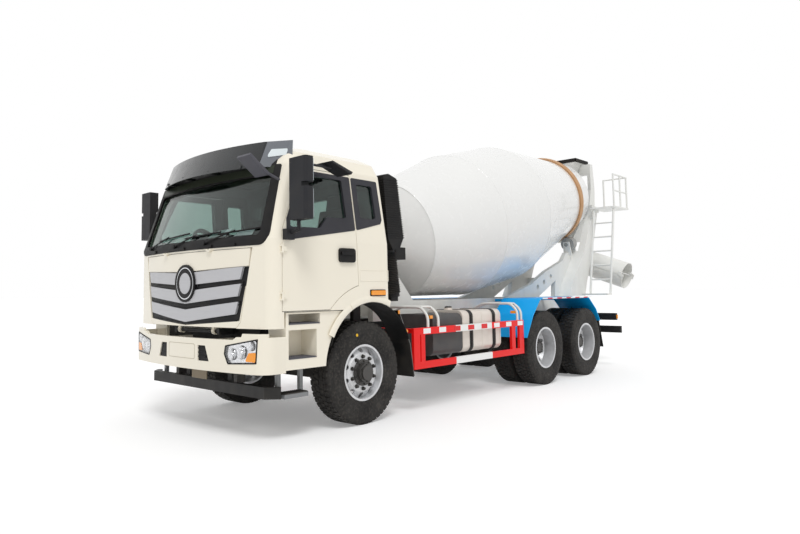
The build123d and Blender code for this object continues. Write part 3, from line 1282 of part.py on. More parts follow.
SEAM_GAP = 4.0
FOLD_PIN_R = 14.0
FOLD_END_GAP = 36.0         # the folded half stops this short of its hinge, to swing past the lugs
with BuildPart() as chute_main:
    half_tube(-60, CHUTE_LENGTH, -1, SEAM_GAP)
    for side_of in (-1, 1):
        rod(
            chute_point(0, 0, side_of * (CHUTE_R - 3)),
            chute_point(0, 0, side_of * (FORK_HALF + 20)), TRUNNION_R,
        )
        rod(
            chute_point(CHUTE_LENGTH, 0, side_of * (CHUTE_R - 5)),
            chute_point(CHUTE_LENGTH, 0, side_of * (CHUTE_R + 24)), FOLD_PIN_R,
        )
        low, high = sorted((side_of * (CHUTE_R - 4), side_of * (CHUTE_R + 6)))
        for along in (0, CHUTE_LENGTH):
            slab(
                Plane(origin=chute_point(along, 0, high), x_dir=tuple(chute_dir), z_dir=(0, -1, 0)),
                [(-22, -60), (18 if along else 30, -60), (18 if along else 30, 18), (-22, 18)], high - low,
            )
keep(chute_main, "chute_main")

with BuildPart() as chute_fold:
    half_tube(240, CHUTE_LENGTH - FOLD_END_GAP, 1, SEAM_GAP)
    for side_of in (-1, 1):
        low, high = sorted((side_of * (CHUTE_R + 8), side_of * (CHUTE_R + 18)))
        slab(
            Plane(origin=chute_point(CHUTE_LENGTH, 0, high), x_dir=tuple(chute_dir), z_dir=(0, -1, 0)),
            [(-90, 10), (-90, 60), (10, 26), (22, 0), (10, -22), (-20, -20)], high - low,
        )
        near, far = sorted((side_of * (CHUTE_R - 40), side_of * (CHUTE_R + 18)))
        slab(
            Plane(origin=chute_point(CHUTE_LENGTH, 0, far), x_dir=tuple(chute_dir), z_dir=(0, -1, 0)),
            [(-90, 24), (-90, 60), (-40, 60), (-40, 24)], far - near,
        )
        with Locations(Location(chute_point(CHUTE_LENGTH, 0, side_of * (CHUTE_R + 13)), (90, 0, 0))):
            Cylinder(FOLD_PIN_R + PIVOT_GAP, 40, mode=Mode.SUBTRACT)
keep(chute_fold, "chute_fold")

# ---------------------------------------------------------------- ladder, platform, intake
LADDER_X = (760.0, 1130.0)
with BuildPart() as ladder:
    foot = (6380.0, 1300.0)
    head = (6680.0, 2870.0)
    for x in LADDER_X:
        rod(at(x, *foot), at(x, *head), 20)
    for k in range(1, 6):
        share = k / 6
        y = foot[0] + share * (head[0] - foot[0])
        z = foot[1] + share * (head[1] - foot[1])
        rod(at(LADDER_X[0], y, z), at(LADDER_X[1], y, z), 14)
    block((POST_X[1], LADDER_X[1] + 20), (6200, 6400), (SUBFRAME_TOP_Z + 10, 1310))
    block((POST_X[1], LADDER_X[0]), (6690, 6730), (2700, 2760))
    block((LADDER_X[0] - 15, LADDER_X[0] + 15), (6640, 6730), (2700, 2760))
keep(ladder, "ladder")

PLATFORM_Z = 2885.0
RAIL_X = 1150.0
RAIL_R = 16.0
with BuildPart() as platform:
    block((700, 1170), (6640, 7280), (PLATFORM_Z, PLATFORM_Z + 25))
    block((POST_X[1], 720), (6820, 6980), (PLATFORM_Z - 40, PLATFORM_Z + 25))
    # hand rails: posts, a top and a middle rail outside, and a rail across the rear end
    RAIL_TOP = 3500
    for y in (6660, 6960, 7260):
        rod(at(RAIL_X, y, PLATFORM_Z + 20), at(RAIL_X, y, RAIL_TOP + 12), RAIL_R)
    for z in (3200, RAIL_TOP):
        rod(at(RAIL_X, 6650, z), at(RAIL_X, 7270, z), RAIL_R - 2)
    rod(at(720, 7245, RAIL_TOP), at(RAIL_X, 7245, RAIL_TOP), RAIL_R - 3)
    rod(at(720, 7245, PLATFORM_Z + 20), at(720, 7245, RAIL_TOP + 10), RAIL_R)
keep(platform, "platform")

with BuildPart() as air_intake:
    slab(
        side(880),
        [(330, 2700), (420, 2720), (560, 2680), (665, 2000), (600, 1880), (480, 1860), (400, 1980)],
        270, 20,
    )
    rod(at(1000, 540, 1880), at(1000, 620, 1330), 90)
    block((880, 1080), (600, 780), (1760, 1900))
    block((RAIL_OUT_X - 60, 1040), (560, 680), (1280, 1330))
    block((RAIL_OUT_X - 60, RAIL_OUT_X), (560, 680), (RAIL_TOP_Z, 1285))
keep(air_intake, "air_intake")
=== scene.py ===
"""Looks of a concrete mixer truck: its finishes, and the small pieces that its solids leave out.

Lengths are metres. Places along the truck are given behind the front axle, heights above the ground,
and +X is the truck's left.
"""
import math

import bmesh
import bpy
from mathutils import Matrix, Vector


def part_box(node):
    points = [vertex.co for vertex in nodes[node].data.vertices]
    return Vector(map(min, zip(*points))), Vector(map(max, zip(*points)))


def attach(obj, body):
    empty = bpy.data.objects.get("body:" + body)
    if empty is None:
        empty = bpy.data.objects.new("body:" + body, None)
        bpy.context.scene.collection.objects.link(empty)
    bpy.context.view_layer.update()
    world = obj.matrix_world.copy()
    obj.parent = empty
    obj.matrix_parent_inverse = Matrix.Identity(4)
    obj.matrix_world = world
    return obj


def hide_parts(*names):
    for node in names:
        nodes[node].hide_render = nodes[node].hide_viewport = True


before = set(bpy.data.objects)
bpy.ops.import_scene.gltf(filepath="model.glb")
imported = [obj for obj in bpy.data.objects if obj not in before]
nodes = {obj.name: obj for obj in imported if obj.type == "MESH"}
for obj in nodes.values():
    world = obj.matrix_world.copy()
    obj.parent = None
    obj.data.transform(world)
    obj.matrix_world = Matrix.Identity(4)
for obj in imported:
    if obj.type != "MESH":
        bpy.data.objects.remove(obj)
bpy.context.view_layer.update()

# ---- places taken from the frame
TYRE_LOW, TYRE_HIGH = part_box("tyre_front_left")
FRONT_AXLE_Y = (TYRE_LOW.y + TYRE_HIGH.y) / 2
TYRE_R = (TYRE_HIGH.z - TYRE_LOW.z) / 2
AXLE_Z = TYRE_LOW.z + TYRE_R
HANDS = ((1, "left"), (-1, "right"))


def behind(node):
    """How far a node's middle is behind the front axle."""
    low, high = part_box(node)
    return (low.y + high.y) / 2 - FRONT_AXLE_Y


MID_AXLE = behind("tyres_mid_left")
REAR_AXLE = behind("tyres_rear_left")


def at(x, y, z):
    """A place in the frame; y is behind the front axle."""
    return Vector((x, FRONT_AXLE_Y + y, z))


# ---- finishes
def srgb(red, green, blue):
    """A colour written as it looks, 0 to 255, as the shader's linear values."""
    def linear(value):
        share = value / 255
        return share / 12.92 if share <= 0.04045 else ((share + 0.055) / 1.055) ** 2.4
    return (linear(red), linear(green), linear(blue), 1.0)


finishes = {}


class Finish:
    """One procedural material around a Principled shader, kept in finishes by its name."""

    def __init__(self, name, **settings):
        self.material = finishes[name] = bpy.data.materials.new(name)
        self.material.use_nodes = True
        self.tree = self.material.node_tree
        self.tree.nodes.clear()
        output = self.tree.nodes.new("ShaderNodeOutputMaterial")
        self.shader = self.tree.nodes.new("ShaderNodeBsdfPrincipled")
        self.tree.links.new(self.shader.outputs["BSDF"], output.inputs["Surface"])
        self.place = self.tree.nodes.new("ShaderNodeTexCoord").outputs["Object"]
        for socket, value in settings.items():
            self.shader.inputs[socket.replace("_", " ")].default_value = value

    def put(self, socket, value):
        """Sets an input to a number or colour, or links it to an output."""
        if isinstance(value, bpy.types.NodeSocket):
            self.tree.links.new(value, socket)
        else:
            socket.default_value = value

    def node(self, kind, output, **inputs):
        """A new node with its inputs set or linked; gives one of its outputs."""
        made = self.tree.nodes.new("ShaderNode" + kind)
        for name, value in inputs.items():
            self.put(made.inputs[name], value)
        return made.outputs[output]

    def noise(self, scale, detail, stretch=(1, 1, 1)):
        """Noise from 0 to 1 that keeps its place on the piece."""
        spread = self.node("Mapping", "Vector", Vector=self.place, Scale=stretch)
        return self.node("TexNoise", "Fac", Vector=spread, Scale=scale, Detail=detail)

    def blotch(self, scale, detail, low, high, out_low, out_high):
        """Noise, stretched to run between two numbers."""
        return self.ramp(self.noise(scale, detail), low, high, out_low, out_high)

    def cells(self, scale):
        """Distance to the nearest of many scattered points."""
        return self.node("TexVoronoi", "Distance", Vector=self.place, Scale=scale)

    def ramp(self, value, low, high, out_low=0.0, out_high=1.0):
        """Maps a value from one range to another, held at the ends."""
        node = self.tree.nodes.new("ShaderNodeMapRange")
        for socket, entry in zip(node.inputs, (value, low, high, out_low, out_high)):
            self.put(socket, entry)
        return node.outputs["Result"]

    def math(self, operation, first, second=0.0):
        node = self.tree.nodes.new("ShaderNodeMath")
        node.operation = operation
        self.put(node.inputs[0], first)
        self.put(node.inputs[1], second)
        return node.outputs["Value"]

    def axis(self, letter):
        """One coordinate of the place, in metres."""
        return self.node("SeparateXYZ", letter, Vector=self.place)

    def mix(self, share, first, second):
        """Two colours, blended by a share."""
        node = self.tree.nodes.new("ShaderNodeMix")
        node.data_type = "RGBA"
        self.put(node.inputs["Factor"], share)
        self.put(node.inputs["A"], first)
        self.put(node.inputs["B"], second)
        return node.outputs["Result"]

    def colour(self, value):
        self.put(self.shader.inputs["Base Color"], value)

    def rough(self, value):
        self.put(self.shader.inputs["Roughness"], value)

    def bump(self, height, distance, strength):
        normal = self.node("Bump", "Normal", Strength=strength, Distance=distance, Height=height)
        self.put(self.shader.inputs["Normal"], normal)


def darker(colour, share):
    """The colour with that share of its light left."""
    return tuple(part * share for part in colour[:3]) + (1.0,)


DUST = srgb(150, 140, 124)


def paint(name, colour, rough, coat, dust=0.0, dust_top=1.4, dust_colour=DUST, zones=()):
    """Gloss paint: faint shade changes, and dust that thickens towards the ground.

    zones holds (share, colour) pairs, each made by a function of the finish.
    """
    made = Finish(name, Coat_Weight=coat, Coat_Roughness=0.08, Specular_IOR_Level=0.3)
    body = colour
    for zone, zone_colour in zones:
        body = made.mix(zone(made), body, zone_colour)
    shade = made.blotch(1.3, 4.0, 0.3, 0.7, 0.0, 0.10)
    body = made.mix(shade, body, darker(colour, 0.72)) if not zones else body
    if dust:
        low_down = made.ramp(made.axis("Z"), 0.2, dust_top, 1.0, 0.0)
        patch = made.ramp(made.noise(6.0, 6.0, (1, 1, 0.4)), 0.35, 0.75, 0.0, dust)
        body = made.mix(made.math("MULTIPLY", low_down, patch), body, dust_colour)
    made.colour(body)
    made.rough(made.blotch(9.0, 4.0, 0.3, 0.7, rough * 0.92, rough * 1.1))


def plastic(name, colour, rough, grain=420.0, dusty=0.12):
    """Moulded plastic with a fine leather grain and a little dust."""
    made = Finish(name, Specular_IOR_Level=0.22)
    made.colour(made.mix(made.blotch(7.0, 5.0, 0.35, 0.75, 0.0, dusty), colour, DUST))
    made.rough(made.blotch(14.0, 4.0, 0.3, 0.7, rough * 0.85, rough * 1.15))
    made.bump(made.cells(grain), 0.0004, 0.5)


def metal(name, colour, rough, metallic, stretch=(1, 1, 1), worn=0.25, wear=(0.1, 0.09, 0.08, 1), lines=0.3):
    """Metal with fine lines along one way and duller patches."""
    made = Finish(name, Metallic=metallic)
    made.colour(made.mix(made.blotch(8.0, 5.0, 0.4, 0.8, 0.0, worn), colour, wear))
    made.rough(made.ramp(made.noise(60.0, 3.0, stretch), 0.3, 0.7, rough * 0.75, rough * 1.3))
    if lines:
        made.bump(made.noise(300.0, 2.0, stretch), 0.0002, lines)


def lens(name, colour, rough=0.08, clear=0.0):
    """A coloured lamp lens with moulded ribs."""
    made = Finish(name, Transmission_Weight=clear, IOR=1.45, Coat_Weight=0.6)
    made.colour(made.mix(made.blotch(30.0, 3.0, 0.4, 0.6, 0.0, 0.1), colour, darker(colour, 0.6)))
    made.rough(rough)
    made.bump(made.node("TexWave", "Fac", Scale=60.0, Vector=made.place), 0.0004, 0.2)


def window_glass():
    """Clear, faintly green glass, with a trace of dust."""
    made = Finish("cab_windows", Transmission_Weight=1.0, IOR=1.45)
    tint = srgb(168, 188, 182)
    made.colour(made.mix(made.blotch(3.0, 5.0, 0.5, 0.8, 0.0, 0.3), tint, srgb(130, 150, 146)))
    made.rough(made.blotch(5.0, 5.0, 0.5, 0.9, 0.0, 0.03))


def tyre_rubber():
    """Dark rubber, greyed on the side walls and dusty on the tread."""
    made = Finish("tyre_rubber", Specular_IOR_Level=0.2)
    black = srgb(34, 33, 33)
    grey = made.mix(made.blotch(5.0, 6.0, 0.35, 0.7, 0.1, 0.55), black, srgb(72, 70, 67))
    made.colour(made.mix(made.blotch(40.0, 4.0, 0.5, 0.8, 0.0, 0.4), grey, srgb(98, 92, 84)))
    made.rough(made.blotch(30.0, 4.0, 0.3, 0.7, 0.62, 0.9))
    made.bump(made.noise(240.0, 3.0), 0.0006, 0.5)


HUB_R = 0.139


def rim_paint(name, axle):
    """Silver wheel paint, dark on the hub inside the bolt circle."""
    made = Finish(name, Metallic=0.35)
    along = made.math("SUBTRACT", made.axis("Y"), FRONT_AXLE_Y + axle)
    up = made.math("SUBTRACT", made.axis("Z"), AXLE_Z)
    square = made.math("ADD", made.math("MULTIPLY", along, along), made.math("MULTIPLY", up, up))
    hub = made.ramp(made.math("SQRT", square), HUB_R, HUB_R + 0.003, 1.0, 0.0)
    silver = made.mix(made.blotch(9.0, 5.0, 0.4, 0.75, 0.0, 0.3), srgb(218, 219, 221),
                      srgb(150, 146, 140))
    made.colour(made.mix(hub, silver, srgb(74, 72, 70)))
    made.rough(made.blotch(20.0, 4.0, 0.3, 0.7, 0.3, 0.5))
    made.bump(made.noise(180.0, 2.0), 0.0003, 0.3)


ZONE_EDGE = 0.001


def between(letter, low, high):
    """A zone between two places along one axis."""
    def share(made):
        place = made.axis(letter)
        above = made.ramp(place, low - ZONE_EDGE, low, 0.0, 1.0)
        below = made.ramp(place, high, high + ZONE_EDGE, 1.0, 0.0)
        return made.math("MULTIPLY", above, below)
    return share


def off_middle(distance):
    """A zone further than that from the truck's middle plane."""
    return lambda made: made.ramp(made.math("ABSOLUTE", made.axis("X")), distance, distance + ZONE_EDGE)


def visor_smoke():
    """Dark tinted acrylic in front, satin grey wings at the sides."""
    made = Finish("visor_smoke", Coat_Weight=0.5, Coat_Roughness=0.05, Specular_IOR_Level=0.3)
    smoke = made.mix(made.blotch(2.5, 4.0, 0.35, 0.7, 0.0, 0.5), srgb(12, 15, 17), srgb(34, 40, 43))
    made.colour(made.mix(off_middle(0.905)(made), smoke, srgb(112, 116, 122)))
    made.rough(made.blotch(12.0, 4.0, 0.3, 0.7, 0.18, 0.32))


CAB_INSIDE_Z = (1.32, 2.775)


def inside_cab(made):
    """The cab's inner faces: a zone that stays inside its skin at every height."""
    x, y, z = (made.axis(letter) for letter in "XYZ")
    half = made.math("SUBTRACT", made.ramp(z, 1.9, 2.64, 1.222, 1.178), made.ramp(z, 2.64, 2.77, 0.0, 0.06))
    front = made.ramp(z, 1.9, 2.64, FRONT_AXLE_Y - 1.16, FRONT_AXLE_Y - 0.93)
    rear = made.ramp(z, 1.9, 2.64, FRONT_AXLE_Y + 0.29, FRONT_AXLE_Y + 0.20)
    share = made.math("LESS_THAN", made.math("ABSOLUTE", x), half)
    for test, first, second in (
        ("GREATER_THAN", y, front), ("LESS_THAN", y, rear),
        ("GREATER_THAN", z, CAB_INSIDE_Z[0]), ("LESS_THAN", z, CAB_INSIDE_Z[1]),
    ):
        share = made.math("MULTIPLY", share, made.math(test, first, second))
    return share


GUARD_WHITE = (1.568, 2.375)     # the white stretch of the side guards, behind the front axle
CREAM = srgb(246, 239, 222)
LINING = srgb(84, 92, 86)
RED = srgb(240, 20, 18)
WHITE = srgb(243, 243, 241)
OFF_WHITE = srgb(236, 236, 232)
STEEL_BLACK = srgb(30, 30, 31)
FRAME_TOP_Z = 1.04
STEP_BOX_Z = 0.652
paint("cab_paint", CREAM, 0.24, 0.5, 0.03, 1.1, srgb(190, 178, 150))
paint("drum_paint", srgb(238, 238, 236), 0.26, 0.4, 0.04, 3.2, srgb(176, 174, 168))
paint("white_paint", OFF_WHITE, 0.42, 0.2, 0.30, 2.6, srgb(158, 152, 142))
paint(
    "guard_paint", RED, 0.4, 0.06, 0.03, 0.7,
    zones=[(between("Y", FRONT_AXLE_Y + GUARD_WHITE[0], FRONT_AXLE_Y + GUARD_WHITE[1]), WHITE)],
)
paint("fender_paint", srgb(8, 172, 246), 0.38, 0.08, 0.04, 1.0)
paint("chassis_paint", STEEL_BLACK, 0.5, 0.02, 0.12, 0.9)
plastic("cast_parts", srgb(34, 33, 32), 0.65, 160.0, 0.2)
metal("ring_steel", srgb(196, 152, 108), 0.5, 0.35, worn=0.4, wear=srgb(146, 98, 58))
# black below the frame's top, white above it like the subframe
paint("cross_paint", STEEL_BLACK, 0.5, 0.02, zones=[(between("Z", FRAME_TOP_Z, 9.0), OFF_WHITE)])
# the hanging step under the cream box is bare steel
paint("step_paint", CREAM, 0.24, 0.5, zones=[(between("Z", 0.0, STEP_BOX_Z), srgb(128, 130, 132))])
paint("shell_paint", CREAM, 0.24, 0.5, zones=[(inside_cab, LINING)])
rim_paint("rim_front", 0.0)
rim_paint("rim_mid", MID_AXLE)
rim_paint("rim_rear", REAR_AXLE)
metal("tank_alloy", srgb(226, 217, 208), 0.42, 0.3, (1, 0.05, 1), 0.15, srgb(150, 138, 126))
plastic("strap_paint", srgb(38, 39, 42), 0.55, 300.0, 0.1)
plastic("black_plastic", srgb(15, 15, 17), 0.5, dusty=0.03)
plastic("grey_plastic", srgb(88, 88, 95), 0.5, 420.0, 0.05)
plastic("mirror_plastic", srgb(38, 39, 43), 0.5, 420.0, 0.04)
plastic("band_plastic", srgb(52, 52, 58), 0.38, 600.0, 0.03)
metal("trim_silver", srgb(190, 190, 193), 0.4, 0.35, (0.05, 1, 1), 0.05, srgb(150, 150, 152))
plastic("flap_rubber", srgb(24, 24, 25), 0.75, 200.0, 0.1)
tyre_rubber()
window_glass()
plastic("cabin_trim", srgb(92, 98, 94), 0.7, 300.0, 0.05)
visor_smoke()
lens("clear_lens", srgb(250, 250, 250), 0.02, 1.0)
lens("amber", srgb(255, 158, 20))
lens("red_lens", srgb(190, 16, 14))
metal("chrome", srgb(232, 233, 236), 0.12, 1.0, worn=0.0, lines=0.0)
metal("mirror", srgb(205, 212, 218), 0.03, 1.0, worn=0.0, lines=0.0)
metal("steel", srgb(140, 140, 140), 0.45, 0.7, worn=0.4)
metal("dark_steel", srgb(62, 60, 58), 0.5, 0.6, worn=0.4)
metal("zinc_grey", srgb(170, 170, 168), 0.5, 0.4, worn=0.2, wear=srgb(120, 118, 112))
paint("tape_white", srgb(246, 246, 246), 0.35, 0.2)
paint("tape_red", srgb(226, 18, 22), 0.35, 0.2)
# olive: the screen's tint band, and partly painted shade, the visor's shadow on the surround under the visor
plastic("olive_tint_and_visor_shadow", srgb(44, 50, 38), 0.4, 300.0, 0.0)
plastic("card", srgb(232, 240, 242), 0.6, 200.0, 0.02)
paint("tan_paint", srgb(138, 124, 102), 0.5, 0.1, 0.2)
paint("yellow_paint", srgb(240, 190, 20), 0.4, 0.2, 0.1)
paint("seam", srgb(190, 182, 162), 0.5, 0.0)
plastic("chassis_units_grey", srgb(76, 75, 76), 0.45, 260.0, 0.1)


def both(name):
    """The names of the left and the right node."""
    return tuple(f"{name}_{side}" for _, side in HANDS)


NODE_FINISH = {
    "cross_paint": ("cross_members",),
    "step_paint": ("step_boxes",),
    "cab_paint": ("bumper", "front_panel"),
    "shell_paint": ("cab_shell",) + both("door"),
    "drum_paint": ("drum",),
    "white_paint": (
        "subframe", "drum_drive", "hopper", "outlet", "chute_post", "ladder", "platform",
        "chute_swivel", "chute_main", "chute_fold",
    ),
    "guard_paint": ("side_guards",),
    "fender_paint": ("rear_fenders",),
    "chassis_paint": ("frame", "springs", "front_underrun", "rear_underrun", "tail_lamps"),
    "cast_parts": ("driveline", "front_axle", "rear_axles") + both("knuckle"),
    "ring_steel": ("drum_ring",),
    "zinc_grey": both("roller"),
    "rim_front": both("rim_front"),
    "rim_mid": both("rims_mid"),
    "rim_rear": both("rims_rear"),
    "tank_alloy": ("fuel_tank",),
    "strap_paint": ("tank_straps",),
    "black_plastic": ("air_intake",),
    "grey_plastic": ("front_mirror",),
    "mirror_plastic": both("mirror"),
    "chassis_units_grey": ("chassis_units",),
    "trim_silver": ("grille",),
    "flap_rubber": ("mudflaps",),
    "tyre_rubber": tuple(name for name in nodes if name.startswith("tyre")),
    "cab_windows": ("cab_glass",) + both("door_glass"),
    "cabin_trim": ("cab_interior",),
    "clear_lens": ("headlamps",),
    "visor_smoke": ("sun_visor",),
}
for finish_name, members in NODE_FINISH.items():
    for member in members:
        nodes[member].data.materials.clear()
        nodes[member].data.materials.append(finishes[finish_name])


# ---- shapes
def placed(name, data):
    """A new object in the scene."""
    made = bpy.data.objects.new(name, data)
    bpy.context.scene.collection.objects.link(made)
    return made


class Shape:
    """The faces of one piece while it is made, in the truck's frame."""

    def __init__(self):
        self.mesh = bmesh.new()

    def faces(self, points, loops):
        """Adds points and the faces that join them."""
        made = [self.mesh.verts.new(point) for point in points]
        for loop in loops:
            self.mesh.faces.new([made[k] for k in loop])

    def box(self, x, y, z, hand=1):
        """An upright box between two places along each axis, on one side or the other."""
        x = [hand * place for place in x]
        points = [at(a, b, c) for a in sorted(x) for b in sorted(y) for c in sorted(z)]
        self.faces(points, [
            (0, 1, 3, 2), (4, 6, 7, 5), (0, 4, 5, 1), (2, 3, 7, 6), (0, 2, 6, 4), (1, 5, 7, 3),
        ])

    def prism(self, outline, run):
        """A flat outline of places, carried along a vector."""
        count = len(outline)
        points = list(outline) + [point + run for point in outline]
        sides = [(k, (k + 1) % count, count + (k + 1) % count, count + k) for k in range(count)]
        self.faces(points, [tuple(range(count))[::-1], tuple(range(count, 2 * count))] + sides)

    def rings(self, rings, closed=False):
        """Joins rings of equally many points, one after another."""
        size = len(rings[0])
        made = [[self.mesh.verts.new(point) for point in ring] for ring in rings]
        pairs = list(zip(made, made[1:])) + ([(made[-1], made[0])] if closed else [])
        for first, second in pairs:
            for k in range(size):
                after = (k + 1) % size
                self.mesh.faces.new((first[k], first[after], second[after], second[k]))
        if not closed:
            self.mesh.faces.new(made[0][::-1])
            self.mesh.faces.new(made[-1])

    def tube(self, points, radius, sides=12):
        """A round bar through the points."""
        rings = []
        normal = None
        for k, point in enumerate(points):
            before = points[max(k - 1, 0)]
            after = points[min(k + 1, len(points) - 1)]
            way = (after - before).normalized()
            if normal is None:
                normal = way.orthogonal().normalized()
            normal = (normal - way * normal.dot(way)).normalized()
            other = way.cross(normal)
            turn = [2 * math.pi * n / sides for n in range(sides)]
            rings.append([point + radius * (math.cos(a) * normal + math.sin(a) * other) for a in turn])
        self.rings(rings)

    def lathe(self, profile, centre, axis, sides=48, closed=False):
        """A profile of (distance along, radius) turned about an axis through the centre."""
        axis = axis.normalized()
        first = axis.orthogonal().normalized()
        second = axis.cross(first)
        rings = []
        for along, radius in profile:
            turn = [2 * math.pi * n / sides for n in range(sides)]
            rings.append([
                centre + axis * along + radius * (math.cos(a) * first + math.sin(a) * second) for a in turn
            ])
        self.rings(rings, closed)

    def sheet(self, outline, holes, project, lift, thickness, steps=(), levels=()):
        """A sheet that follows a skin: flat outlines, cut at steps and levels, then projected.

        It reaches from lift above the skin down by the thickness.
        """
        flat = bmesh.new()
        edges = []
        for loop in [outline, *holes]:
            made = [flat.verts.new((u, v, 0)) for u, v in loop]
            edges += [flat.edges.new((made[k], made[(k + 1) % len(made)])) for k in range(len(made))]
        bmesh.ops.triangle_fill(flat, edges=edges, use_beauty=True)
        for normal, cuts in (((1, 0, 0), steps), ((0, 1, 0), levels)):
            for cut in cuts:
                place = tuple(cut * part for part in normal)
                geometry = flat.verts[:] + flat.edges[:] + flat.faces[:]
                bmesh.ops.bisect_plane(flat, geom=geometry, plane_co=place, plane_no=normal)
        flat.verts.index_update()
        top = [self.mesh.verts.new(project(v.co.x, v.co.y, lift)) for v in flat.verts]
        low = [self.mesh.verts.new(project(v.co.x, v.co.y, lift - thickness)) for v in flat.verts]
        for face in flat.faces:
            loop = [v.index for v in face.verts]
            self.mesh.faces.new([top[k] for k in loop])
            self.mesh.faces.new([low[k] for k in reversed(loop)])
        for edge in flat.edges:
            if len(edge.link_faces) == 1:
                a, b = (v.index for v in edge.verts)
                self.mesh.faces.new((top[a], top[b], low[b], low[a]))
        flat.free()

    def ended(self, name, finish):
        """The object of what has been made."""
        data = bpy.data.meshes.new(name)
        self.mesh.to_mesh(data)
        self.mesh.free()
        data.materials.append(finishes[finish])
        return placed(name, data)

    def piece(self, name, finish, body, slot, bevel=0.0, smooth=35.0, replaces=()):
        """Ends the making: a named object with its finish, riding on a body."""
        bmesh.ops.recalc_face_normals(self.mesh, faces=self.mesh.faces[:])
        made = self.ended(name, finish)
        made.data.polygons.foreach_set("use_smooth", [True] * len(made.data.polygons))
        made.data.set_sharp_from_angle(angle=math.radians(smooth))
        if bevel:
            edge = made.modifiers.new("edge", "BEVEL")
            edge.width = bevel
            edge.segments = 2
            edge.limit_method = "ANGLE"
            edge.angle_limit = math.radians(50)
        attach(made, body)
        if replaces:
            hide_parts(*replaces)


def rounded(points, radius, steps=6):
    """A closed outline with its corners rounded; radius is one number or one for each corner."""
    count = len(points)
    radii = radius if isinstance(radius, (list, tuple)) else [radius] * count
    result = []
    for k, (u, v) in enumerate(points):
        corner = Vector((u, v))
        before = (Vector(points[k - 1]) - corner).normalized()
        after = (Vector(points[(k + 1) % count]) - corner).normalized()
        if radii[k] <= 0:
            result.append((u, v))
            continue
        half = before.angle(after) / 2
        reach = radii[k] / math.tan(half)
        start = corner + before * reach
        end = corner + after * reach
        centre = corner + (before + after).normalized() * (radii[k] / math.sin(half))
        first = start - centre
        turn = first.angle_signed(end - centre)
        for n in range(steps + 1):
            arm = first.copy()
            arm.rotate(Matrix.Rotation(-turn * n / steps, 2))
            result.append(tuple(centre + arm))
    return result


def grown(points, distance):
    """A closed outline moved outwards by a distance, or inwards if it is negative."""
    count = len(points)
    area = sum(points[k - 1][0] * points[k][1] - points[k][0] * points[k - 1][1] for k in range(count))
    sign = 1 if area > 0 else -1
    result = []
    for k in range(count):
        here = Vector(points[k])
        before = (here - Vector(points[k - 1])).normalized()
        after = (Vector(points[(k + 1) % count]) - here).normalized()
        normals = [Vector((way.y, -way.x)) * sign for way in (before, after)]
        between_normals = (normals[0] + normals[1]).normalized()
        result.append(tuple(here + between_normals * (distance / max(0.3, between_normals.dot(normals[0])))))
    return result


def span(low, high, step):
    """Places from low to high at about the step."""
    count = max(1, round((high - low) / step))
    return [low + (high - low) * k / count for k in range(count + 1)]


def oblong(low, high, bottom, top):
    """The corners of an upright rectangle."""
    return [(low, bottom), (high, bottom), (high, top), (low, top)]


def mirrored(points, hand):
    """An outline seen from the front, on one side or the other."""
    return [(hand * u, v) for u, v in points]


# ---- the cab's skin
# columns: height, front in the middle, front at the sides, half width
CAB_SECTIONS = (
    (0.900, -1.450, -1.300, 1.245),
    (1.900, -1.450, -1.300, 1.245),
    (2.640, -1.210, -1.065, 1.200),
    (2.770, -1.120, -0.985, 1.140),
    (2.840, -0.960, -0.840, 1.020),
)
CAB_CORNER_R = 0.120


def cab_section(z):
    for low, high in zip(CAB_SECTIONS, CAB_SECTIONS[1:]):
        if z <= high[0]:
            share = (z - low[0]) / (high[0] - low[0])
            return [a + share * (b - a) for a, b in zip(low[1:], high[1:])]
    return list(CAB_SECTIONS[-1][1:])


def bowed_front(x, front, corner, half, radius):
    """How far back a bowed front lies at x, with its corners rounded."""
    rise = corner - front
    bow = (half * half + rise * rise) / (2 * rise)
    x = min(abs(x), half - 0.0005)
    across = half - radius
    centre = front + bow - math.sqrt((bow - radius) ** 2 - across**2)
    if x > across * bow / (bow - radius):
        return centre - math.sqrt(max(0.0, radius**2 - (x - across) ** 2))
    return front + bow - math.sqrt(bow * bow - x * x)


def on_front(x, z, lift):
    """A place on the cab's front, lifted off it."""
    front, corner, half = cab_section(z)
    return at(x, bowed_front(x, front, corner, half, CAB_CORNER_R) - lift, z)


def on_side(hand):
    def project(y, z, lift):
        return at(hand * (cab_section(z)[2] + lift), y, z)
    return project


BUMPER = (-1.500, -1.370, 1.225, 0.150)     # front, corner, half width, corner radius


def on_bumper(x, z, lift):
    """A place on the bumper's front, lifted off it."""
    return at(x, bowed_front(x, *BUMPER) - lift, z)


# ---- camera, floor and light
CAMERA_PLACE = (5.859, -4.892, 1.389)
CAMERA_ANGLES = (44.089, 4.567, -0.741)     # yaw, tip, roll
CAMERA_LENS = 28.53
CAMERA_SHIFT = (0.0483, -0.032)


def place_camera():
    """The fitted view: turned left, tipped slightly up, with a slight roll."""
    yaw, tip, roll = (math.radians(angle) for angle in CAMERA_ANGLES)
    ahead = Vector((-math.sin(yaw) * math.cos(tip), math.cos(yaw) * math.cos(tip), math.sin(tip)))
    right = Vector((math.cos(yaw), math.sin(yaw), 0.0))
    up = right.cross(ahead)
    side = right * math.cos(roll) + up * math.sin(roll)
    top = up * math.cos(roll) - right * math.sin(roll)
    data = bpy.data.cameras.new("camera")
    data.lens = CAMERA_LENS
    data.sensor_width = 36.0
    data.shift_x, data.shift_y = CAMERA_SHIFT
    camera = placed("camera", data)
    turn = Matrix((side, top, -ahead)).transposed().to_4x4()
    camera.matrix_world = Matrix.Translation(at(*CAMERA_PLACE)) @ turn
    bpy.context.scene.camera = camera


